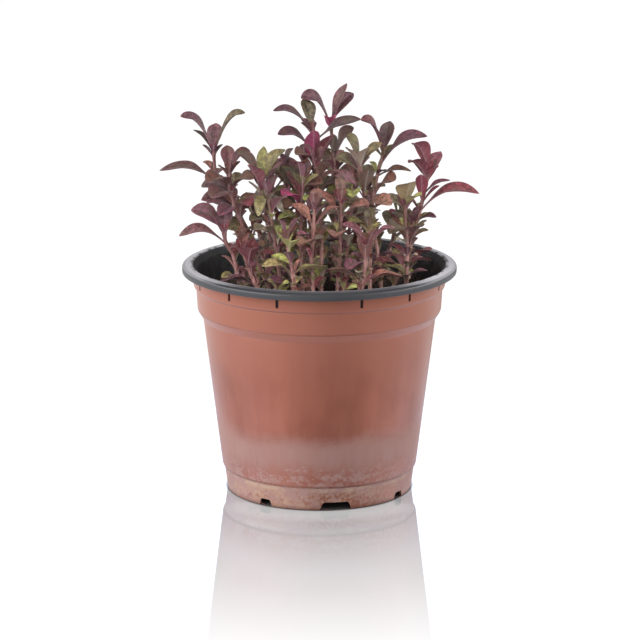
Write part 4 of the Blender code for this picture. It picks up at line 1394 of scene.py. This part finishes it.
def stem_rings(path, heights, draw):
    """Rings round a stem, thicker at its foot and at the nodes where leaves leave it."""
    rings = []
    turn = Quaternion()
    along = UP
    phase = draw.uniform(0, math.tau)
    for index, place in enumerate(path):
        before = path[max(index - 1, 0)]
        after = path[min(index + 1, len(path) - 1)]
        ahead = (after - before).normalized() if index else UP
        turn = along.rotation_difference(ahead) @ turn
        along = ahead
        share = index / (len(path) - 1)
        radius = STEM_FOOT_RADIUS + (STEM_TIP_RADIUS - STEM_FOOT_RADIUS) * share
        away = ((place.z - height) / NODE_REACH for height in heights)
        radius += sum(NODE_SWELLING * math.exp(-(apart**2)) for apart in away)
        below_head = (path[-1].z - place.z) / HEAD_ZONE
        radius += HEAD_SWELLING * max(0.0, 1 - below_head) ** 1.5
        radius += FOOT_SWELLING * clamped(1 - max(0.0, place.z - SOIL_TOP) / FOOT_REACH)
        loop = []
        for side in range(STEM_SIDES):
            angle = math.tau * side / STEM_SIDES
            ribbed = radius * (1 + STEM_RIB_HEIGHT * math.cos(STEM_RIBS * angle + phase))
            offset = turn @ Vector((ribbed * math.cos(angle), ribbed * math.sin(angle), 0))
            loop.append(tuple(place + offset))
        rings.append(loop)
    return np.array(rings)


def stem_colours(path, look, draw):
    """A colour at each point of a stem's path, from foot to head."""
    warm = draw.uniform(*STEM_BRIGHTNESS)
    low, middle, high = (np.array(colour) for colour in (look.stem_foot, look.stem_middle, look.stem_head))
    green = draw.uniform(0, 0.4)
    high = high + (np.array(look.olive) - high) * green
    colours = []
    for index in range(len(path)):
        share = index / (len(path) - 1)
        lower = low + (middle - low) * clamped(share * 2)
        colour = (lower + (high - lower) * clamped(share * 2 - 1)) * warm
        # Painted light towards the soil
        colours.append(colour * painted_light_below(path[index].z, look) ** 0.6)
    return np.array(colours)


def painted_light_below(heights, look):
    """How much lighter than its tint a shoot is painted at these heights: painted light for the light that
    comes up from the soil.
    """
    return 1 + look.paler * np.clip((PAINTED_LIGHT_BELOW - heights) / PAINTED_LIGHT_DEPTH, 0, 1)


def hair_rings(root, direction, length):
    """A thin three-sided hair that narrows to its end."""
    side = direction.orthogonal().normalized()
    rings = []
    for share, radius in HAIR_RADII:
        turns = (Quaternion(direction, math.tau * k / 3) @ side for k in range(3))
        rings.append([tuple(root + direction * (length * share) + turn * radius) for turn in turns])
    return np.array(rings)


def packed_points(node):
    """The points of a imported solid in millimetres, ready to be searched."""
    vertices = frame["nodes"][node].data.vertices
    tree = KDTree(len(vertices))
    for index, vertex in enumerate(vertices):
        tree.insert(vertex.co / MM, index)
    tree.balance()
    return tree


def leaf_as_packed(base, leaf, points):
    """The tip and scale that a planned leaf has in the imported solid, or None if it was left out."""
    for tip, scale in leaf_variations(base, leaf):
        if points.find(tip)[2] < TIP_MATCH:
            return tip, scale
    return None


class Thicket:
    """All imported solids, and the small leaves added so far, to find free room for another."""

    def __init__(self):
        points, faces, self.owners = [], [], []
        for name, solid in frame["nodes"].items():
            first = len(points)
            points.extend(vertex.co / MM for vertex in solid.data.vertices)
            for face in solid.data.polygons:
                faces.append([first + index for index in face.vertices])
                self.owners.append(name)
        self.tree = BVHTree.FromPolygons(points, faces)
        self.added = []

    def clear(self, node, places):
        """True if these places keep away from other solids and from the leaves added before."""
        for place in places:
            for found in self.tree.find_nearest_range(place, ROOM_TO_SOLIDS):
                if self.owners[found[2]] != node:
                    return False
            if any((place - other).length < ROOM_TO_SMALL for other in self.added):
                return False
        return True


def small_leaves(node, path, draw, thicket):
    """The forms and tints of young leaves in the joints of a stem, where there is room for them."""
    height = SOIL_TOP + draw.uniform(*SMALL_FIRST)
    while height < path[-1].z - SMALL_UNDER_HEAD:
        base = point_at_height(path, height)
        share = (height - SOIL_TOP) / (path[-1].z - SOIL_TOP)
        weights = [high * share + low * (1 - share) for high, low in zip(*FILLER_SHARES)]
        heading = draw.uniform(0, 360)
        for opposite in (0, 180):
            for attempt in range(SMALL_TRIES):
                length = draw.uniform(*SMALL_LENGTH) * (1 - SHORTER_EACH_TRY * attempt)
                flat = around(1.0, heading + opposite + draw.uniform(*SMALL_SWING), 0)
                tip = base + rising(flat, draw.uniform(*SMALL_RISE)) * length
                places = [base.lerp(tip, along) + UP * length * 0.12 for along in (0.45, 0.7)] + [tip]
                if thicket.clear(node, places):
                    thicket.added.extend(places)
                    width = length * draw.uniform(*SMALL_WIDTH)
                    tint = draw.choices(FILLER_TINTS, weights)[0]
                    arch, lean = draw.uniform(*SMALL_ARCH), draw.uniform(*SMALL_LEAN)
                    yield BladeForm(base, tip, width, arch, lean), tint
                    break
        low, high = SMALL_SPACING
        height += low + (high - low) * share + draw.uniform(0, SMALL_UNEVEN)


def buds(node, path, draw, thicket):
    """The forms of the youngest leaves, between the large ones of a head."""
    heading = draw.uniform(0, 360)
    for level, (length, rise) in enumerate(BUD_PAIRS):
        for opposite in (0, 180):
            flat = around(1.0, heading + opposite + 90 * level + draw.uniform(*BUD_SWING), 0)
            ahead = rising(flat, rise + draw.uniform(*BUD_TILT))
            reach = length * draw.uniform(*BUD_LENGTH)
            base = path[-1] - UP * (BUD_DROP - BUD_STEP * level)
            tip = base + ahead * reach
            if thicket.clear(node, [base.lerp(tip, 0.6), tip]):
                yield BladeForm(base, tip, reach * draw.uniform(*BUD_WIDTH), BUD_ARCH, sheath=BUD_SHEATH)


def add_hairs(growth, path, heights, look, draw):
    """Short pale hairs that stand out from a stem's nodes."""
    for height in heights:
        for _ in range(HAIRS_AT_NODE):
            root = point_at_height(path, height + draw.uniform(*HAIR_SPREAD))
            out = around(1.0, draw.uniform(0, 360), 0)
            direction = (out + UP * draw.uniform(*HAIR_RISE)).normalized()
            length = look.hair / MM * draw.uniform(*HAIR_LENGTH)
            rings = hair_rings(root + out * STEM_TIP_RADIUS, direction, length)
            growth.loft(rings, np.array(look.hairs), Growth.STEM)


def large_leaves(shoot, tints, points):
    """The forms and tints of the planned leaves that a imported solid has."""
    stem = stem_path(shoot, STEM_STEP)
    none = (0,) * len(shoot.leaves)
    for leaf, tint, roll, further in zip(shoot.leaves, tints, shoot.rolls or none, shoot.leans or none):
        base = point_at_height(stem, leaf.height)
        found = leaf_as_packed(base, leaf, points)
        if found:
            tip, scale = found
            near_head = max(0.0, 1 - (stem[-1].z - leaf.height) / HEAD_ZONE)
            sheath = HEAD_SHEATH * near_head * min(1.0, leaf.width / 6)
            lean = leaf.lean + further
            yield BladeForm(base, tip, leaf.width * scale, leaf.arch, lean, sheath, BLADE_POINTS, roll), tint


def leafy_shoot(name, shoot, look, finishes, thicket):
    """A stem with its blades and hairs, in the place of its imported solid."""
    node = "shoot_" + name
    draw = random.Random(f"{SEED} {name}")
    growth = Growth()
    heights = sorted({round(leaf.height, 1) for leaf in shoot.leaves})
    path = stem_path(shoot, STEM_FINE_STEP)
    rings = stem_rings(path, heights, draw)
    growth.loft(rings, stem_colours(path, look, draw)[:, None], Growth.STEM)
    for form, tint in large_leaves(shoot, leaf_tints(shoot, draw), packed_points(node)):
        add_blade(growth, form, tint, look, draw)
    for form, tint in small_leaves(node, path, draw, thicket):
        add_blade(growth, form, tint, look, draw)
        heights.append(form.base.z)
    # Sprouts with one or two leaves have no head
    if len(shoot.leaves) > 2:
        tint = HEAD_TINTS.get(name, draw.choice(BUD_TINTS))
        for form in buds(node, path, draw, thicket):
            add_blade(growth, form, tint, look, draw)
    add_hairs(growth, path, heights, look, draw)
    piece = growth.piece("leafy_" + name, finishes)
    dress(piece, node)
    bpy.data.collections[FRONT_LIT].objects.link(piece)


def add_blade(growth, form, tint, look, draw):
    """Adds a leaf in a named tint, which runs into the stem's colour at its base."""
    rings, marks, upper = blade_rings(form, look, draw)
    tint = np.array(getattr(look, tint))
    other = np.array(getattr(look, draw.choice(("brown", "moss"))))
    tint = tint + (other - tint) * draw.uniform(0, TINT_MIXED)
    # Painted light towards the soil
    bright = draw.uniform(*BLADE_BRIGHTNESS) * painted_light_below(rings[..., 2:], look)
    stem = (np.array(look.stem_head) + tint) / 2
    share = np.clip(marks[..., :1] / STEM_COLOURED, 0, 1)
    growth.loft(rings, (stem + (tint - stem) * share) * bright, Growth.LEAF, marks, upper)


def lump(place):
    """How far the top of the soil rises or sinks at a place, apart from its crumbs."""
    return noise.fractal(place * LUMPS_PER_MM, 1.0, 2.0, 3) * SOIL_LUMP


def soil_surface():
    """The root ball as a closed body with a lumpy top, and a layer that marks pale grains."""
    mesh = bmesh.new()
    pale = mesh.verts.layers.float.new("pale")
    floor = FOOT_RING_HEIGHT + SHELL_FLOOR + GAP + LINER_WALL + GAP
    inside = inset_profile(SHELL_OUTSIDE, SHELL_WALL + GAP + LINER_WALL)[1:]
    side = [(radius - GAP, height) for radius, height in inside if height < SOIL_SHOULDER]
    bottom = (LINER_FLOOR_RADIUS - LINER_WALL - GAP, floor)
    levels = [(0.5, floor), bottom, *reversed(side), (SOIL_RADIUS, SOIL_TOP - SOIL_EDGE_DROP)]
    turns = [360 * k / SOIL_SEGMENTS for k in range(SOIL_SEGMENTS)]
    loops = [[mesh.verts.new(around(radius, turn, height)) for turn in turns] for radius, height in levels]
    for ring in range(SOIL_RINGS):
        radius = SOIL_RADIUS * (1 - (ring / SOIL_RINGS) ** 1.1)
        loop = []
        for turn in turns:
            place = around(radius, turn, SOIL_TOP)
            crumb = noise.fractal(place * CRUMBS_PER_MM, 0.8, 2.1, 4) * SOIL_CRUMB
            loop.append(mesh.verts.new(place + UP * (lump(place) + crumb - SOIL_SUNK)))
        loops.append(loop)
    for low, high in zip(loops, loops[1:]):
        join_loops(mesh, low, high)
    mesh.faces.new(list(reversed(loops[0])))
    mesh.faces.new(loops[-1])
    return mesh, pale


def add_crumb(mesh, pale, place, size, draw, paleness):
    """One uneven lump of soil or perlite."""
    made = bmesh.ops.create_icosphere(mesh, subdivisions=1, radius=size / 2)["verts"]
    turn = Quaternion([draw.gauss(0, 1) for _ in range(4)]).normalized()
    squeeze = Vector((draw.uniform(0.7, 1.3), draw.uniform(0.6, 1.1), draw.uniform(0.5, 0.9)))
    for vert in made:
        uneven = 1 + 0.35 * noise.noise(vert.co * (2.2 / size) + place)
        vert.co = place + turn @ (vert.co * squeeze * uneven)
        vert[pale] = paleness


class ALTERNANTHERA_OT_pot_shell(bpy.types.Operator):
    """Builds the terracotta-coloured shell with its slits, collar and notched foot"""

    bl_idname = "alternanthera.pot_shell"
    bl_label = "Pot shell"
    bl_options = {"REGISTER", "UNDO"}

    def execute(self, context):
        look = context.scene.alternanthera.pot
        finish = terracotta_finish(look)
        shell = new_piece("pot_shell_moulded", turned_ring(shell_profile(look), POT_SEGMENTS), finish)
        half = SLIT_WIDTH / 2
        corners = ((-half, SLIT_FOOT), (half, SLIT_FOOT), (half, SLIT_TOP), (-half, SLIT_TOP))
        slit = rounded(corners, SLIT_ROUNDING)
        cutters = [block_across_ring(degrees, SLIT_REACH, slit) for degrees in SLIT_ANGLES]
        for places, notch in ((WIDE_NOTCHES, WIDE_NOTCH), (NARROW_NOTCHES, NARROW_NOTCH)):
            for degrees in places:
                cutters.append(block_across_ring(degrees, NOTCH_REACH, notch_outline(notch)))
        cutters += drain_posts(FOOT_RING_HEIGHT - 1, SHELL_POST)
        cut_openings(shell, cutters, finish)
        dress(shell, "pot_outer_shell")
        return {"FINISHED"}


class ALTERNANTHERA_OT_pot_liner(bpy.types.Operator):
    """Builds the black liner with its rolled rim"""

    bl_idname = "alternanthera.pot_liner"
    bl_label = "Pot liner"
    bl_options = {"REGISTER", "UNDO"}

    def execute(self, context):
        look = context.scene.alternanthera.pot
        finish = black_finish(look)
        liner = new_piece("pot_liner_moulded", turned_ring(liner_profile(look), POT_SEGMENTS), finish)
        cut_openings(liner, drain_posts(FOOT_RING_HEIGHT, LINER_POST), finish)
        dress(liner, "pot_inner_liner")
        return {"FINISHED"}


class ALTERNANTHERA_OT_root_ball(bpy.types.Operator):
    """Builds the soil with its crumbs and grains of perlite"""

    bl_idname = "alternanthera.root_ball"
    bl_label = "Root ball"
    bl_options = {"REGISTER", "UNDO"}

    def execute(self, context):
        look = context.scene.alternanthera.soil
        mesh, pale = soil_surface()
        draw = random.Random(SEED)
        for paleness in [0.0] * CRUMBS + [1.0] * PERLITE:
            place = around(math.sqrt(draw.random()) * (SOIL_RADIUS - 1.5), draw.uniform(0, 360), SOIL_TOP)
            size = look.crumb / MM * draw.uniform(*CRUMB_SIZE)
            place.z += lump(place) + size * 0.1
            add_crumb(mesh, pale, place, size, draw, paleness)
        piece = new_piece("soil_crumbly", mesh, soil_finish(look), SOIL_CREASE)
        dress(piece, "soil")
        return {"FINISHED"}


class ALTERNANTHERA_OT_shoots(bpy.types.Operator):
    """Builds every leafy shoot with its stem, blades and hairs"""

    bl_idname = "alternanthera.shoots"
    bl_label = "Leafy shoots"
    bl_options = {"REGISTER", "UNDO"}

    def execute(self, context):
        look = context.scene.alternanthera.plant
        finishes = [leaf_finish(look), stem_finish(look)]
        thicket = Thicket()
        for name, shoot in all_shoots().items():
            leafy_shoot(name, shoot, look, finishes, thicket)
        return {"FINISHED"}


def softbox(name, azimuth, brightness):
    """A light aimed at the plant; at brightness 1 it shows a white card facing it as white."""
    elevation, distance, width, height = LAMPS[name]
    lamp = bpy.data.lights.new(name, "AREA")
    lamp.shape = "RECTANGLE"
    lamp.size = width
    lamp.size_y = height
    lamp.energy = brightness * math.pi**2 * distance**2
    made = shown(name, lamp)
    a, e = math.radians(azimuth), math.radians(elevation)
    away = Vector((math.sin(a) * math.cos(e), -math.cos(a) * math.cos(e), math.sin(e)))
    made.location = UP * AIMED_AT + away * distance
    made.rotation_euler = away.to_track_quat("Z", "Y").to_euler()
    return made


def floor_finish(look):
    """A white light table with a painted shadow under the pot, where its glow stops, and a mirror that fades
    away from it.

    It has a painted shade close before the pot, and glossy plastic sees it brighter at the sides than in
    front.
    """
    paint = Paint(bpy.data.materials.new("studio_floor"))
    x, y, z = paint.axes(paint.place())
    away = (x * x + y * y) ** 0.5
    aside = x / away
    sides = look.left * paint.step(aside, *LEFT_PANEL) + look.right * paint.step(aside, *RIGHT_PANEL)
    shiny = paint.node("LightPath", output="Is Glossy Ray")
    lit = look.front + sides * (1 + shiny * (look.shine - 1))
    seen = paint.node("LightPath", output="Is Camera Ray")
    # Painted shadow: no glow under the pot, and less glow and mirror close before it
    outside = paint.step(away, *CONTACT)
    before = paint.step(y / away, *BEFORE) * paint.step(away, SHADE_END, CONTACT[1])
    glow = (lit + seen * (1 - lit)) * outside * (1 - before * GLOW_SHADED)
    paint.finish(
        Base_Color=(0.08, 0.08, 0.08),
        Roughness=0.9,
        Emission_Color=paint.mix(glow, (0, 0, 0), tuple(look.floor)),
        Emission_Strength=1.0,
    )
    near = paint.node("MapRange", {"clamp": True}, {0: away, 1: MIRROR_END, 2: FOOT_RADIUS * MM})
    share = near * outside * (1 - before * MIRROR_SHADED) * look.gloss
    mirror = paint.node("BsdfGlossy", values={"Color": MIRROR_TINT, "Roughness": 0.0})
    mixed = paint.node("MixShader", values={0: share, 1: Wire(paint, paint.shader.outputs[0]), 2: mirror})
    paint.feed(paint.tree.nodes["Material Output"].inputs["Surface"], mixed)
    return paint.owner


def studio_world(look):
    """White walls under a dim ceiling, which the floor's mirror sees as bright all round.

    Only a share of their light falls on the plant, and they are dimmer behind the pot.
    """
    paint = Paint(bpy.data.worlds.new("studio_world"))
    x, y, z = paint.axes(paint.node("TexCoord", output="Generated"))
    walls = paint.step(z, *WALL_END, look.wall, look.sky)
    falling = paint.node("LightPath", output="Is Diffuse Ray")
    mirrored = paint.node("LightPath", output="Is Singular Ray")
    share = paint.step(falling, 0.0, 1.0, 1.0, look.spill) * paint.step(y, *BACK_WALL, 1.0, look.back)
    return paint.finish(Color=(1, 1, 1), Strength=(walls * share).at_least(mirrored * 2))


class ALTERNANTHERA_OT_studio(bpy.types.Operator):
    """Builds the pale floor, the soft lights and the camera"""

    bl_idname = "alternanthera.studio"
    bl_label = "Studio"
    bl_options = {"REGISTER", "UNDO"}

    def execute(self, context):
        look = context.scene.alternanthera.studio
        scene = context.scene
        mesh = bmesh.new()
        bmesh.ops.create_grid(mesh, x_segments=1, y_segments=1, size=FLOOR_SIZE / MM)
        floor = new_piece("studio_floor", mesh, floor_finish(look))
        floor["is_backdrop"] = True
        scene.world = studio_world(look)
        softbox("key_left", look.key_side, look.key)
        softbox("fill_right", look.fill_side, look.fill)
        softbox("top", 0, look.top)
        front = softbox("front", FRONT_SIDE, look.front_light)
        front.light_linking.receiver_collection = bpy.data.collections.new(FRONT_LIT)
        lens = bpy.data.cameras.new("camera")
        lens.lens = CAMERA_LENS
        lens.sensor_width = CAMERA_SENSOR
        lens.shift_x = (PHOTO_SIZE / 2 - PHOTO_CENTRE) / PHOTO_SIZE
        camera = shown("camera", lens)
        camera.location = (0, -CAMERA_BACK, CAMERA_HEIGHT)
        camera.rotation_euler = (math.radians(90 - CAMERA_PITCH), 0, 0)
        scene.camera = camera
        scene.view_settings.view_transform = "Standard"
        return {"FINISHED"}


class ALTERNANTHERA_PT_parts(bpy.types.Panel):
    """Lists what the add-on builds"""

    bl_label = "Potted alternanthera"
    bl_idname = "ALTERNANTHERA_PT_parts"
    bl_space_type = "VIEW_3D"
    bl_region_type = "UI"
    bl_category = "Alternanthera"

    def draw(self, context):
        settings = context.scene.alternanthera
        for group in (settings.pot, settings.soil, settings.plant, settings.studio):
            box = self.layout.box()
            box.label(text=group.bl_rna.name)
            for name in group.bl_rna.properties.keys():
                if name not in ("rna_type", "name"):
                    box.prop(group, name)
        for operator in OPERATORS:
            self.layout.operator(operator.bl_idname)


OPERATORS = (
    ALTERNANTHERA_OT_studio,
    ALTERNANTHERA_OT_pot_shell,
    ALTERNANTHERA_OT_pot_liner,
    ALTERNANTHERA_OT_root_ball,
    ALTERNANTHERA_OT_shoots,
)
CLASSES = (
    PotLook,
    SoilLook,
    PlantLook,
    StudioLook,
    AlternantheraLook,
    *OPERATORS,
    ALTERNANTHERA_PT_parts,
)


def register():
    for cls in CLASSES:
        bpy.utils.register_class(cls)
    bpy.types.Scene.alternanthera = PointerProperty(type=AlternantheraLook)


def unregister():
    del bpy.types.Scene.alternanthera
    for cls in reversed(CLASSES):
        bpy.utils.unregister_class(cls)


def main():
    register()
    bpy.ops.alternanthera.studio()
    bpy.ops.alternanthera.pot_shell()
    bpy.ops.alternanthera.pot_liner()
    bpy.ops.alternanthera.root_ball()
    bpy.ops.alternanthera.shoots()
    boxes = {"cad": CAD_BOX, "visual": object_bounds()}
    plain = {name: [list(corner) for corner in box] for name, box in boxes.items()}


if __name__ == "__main__":
    main()
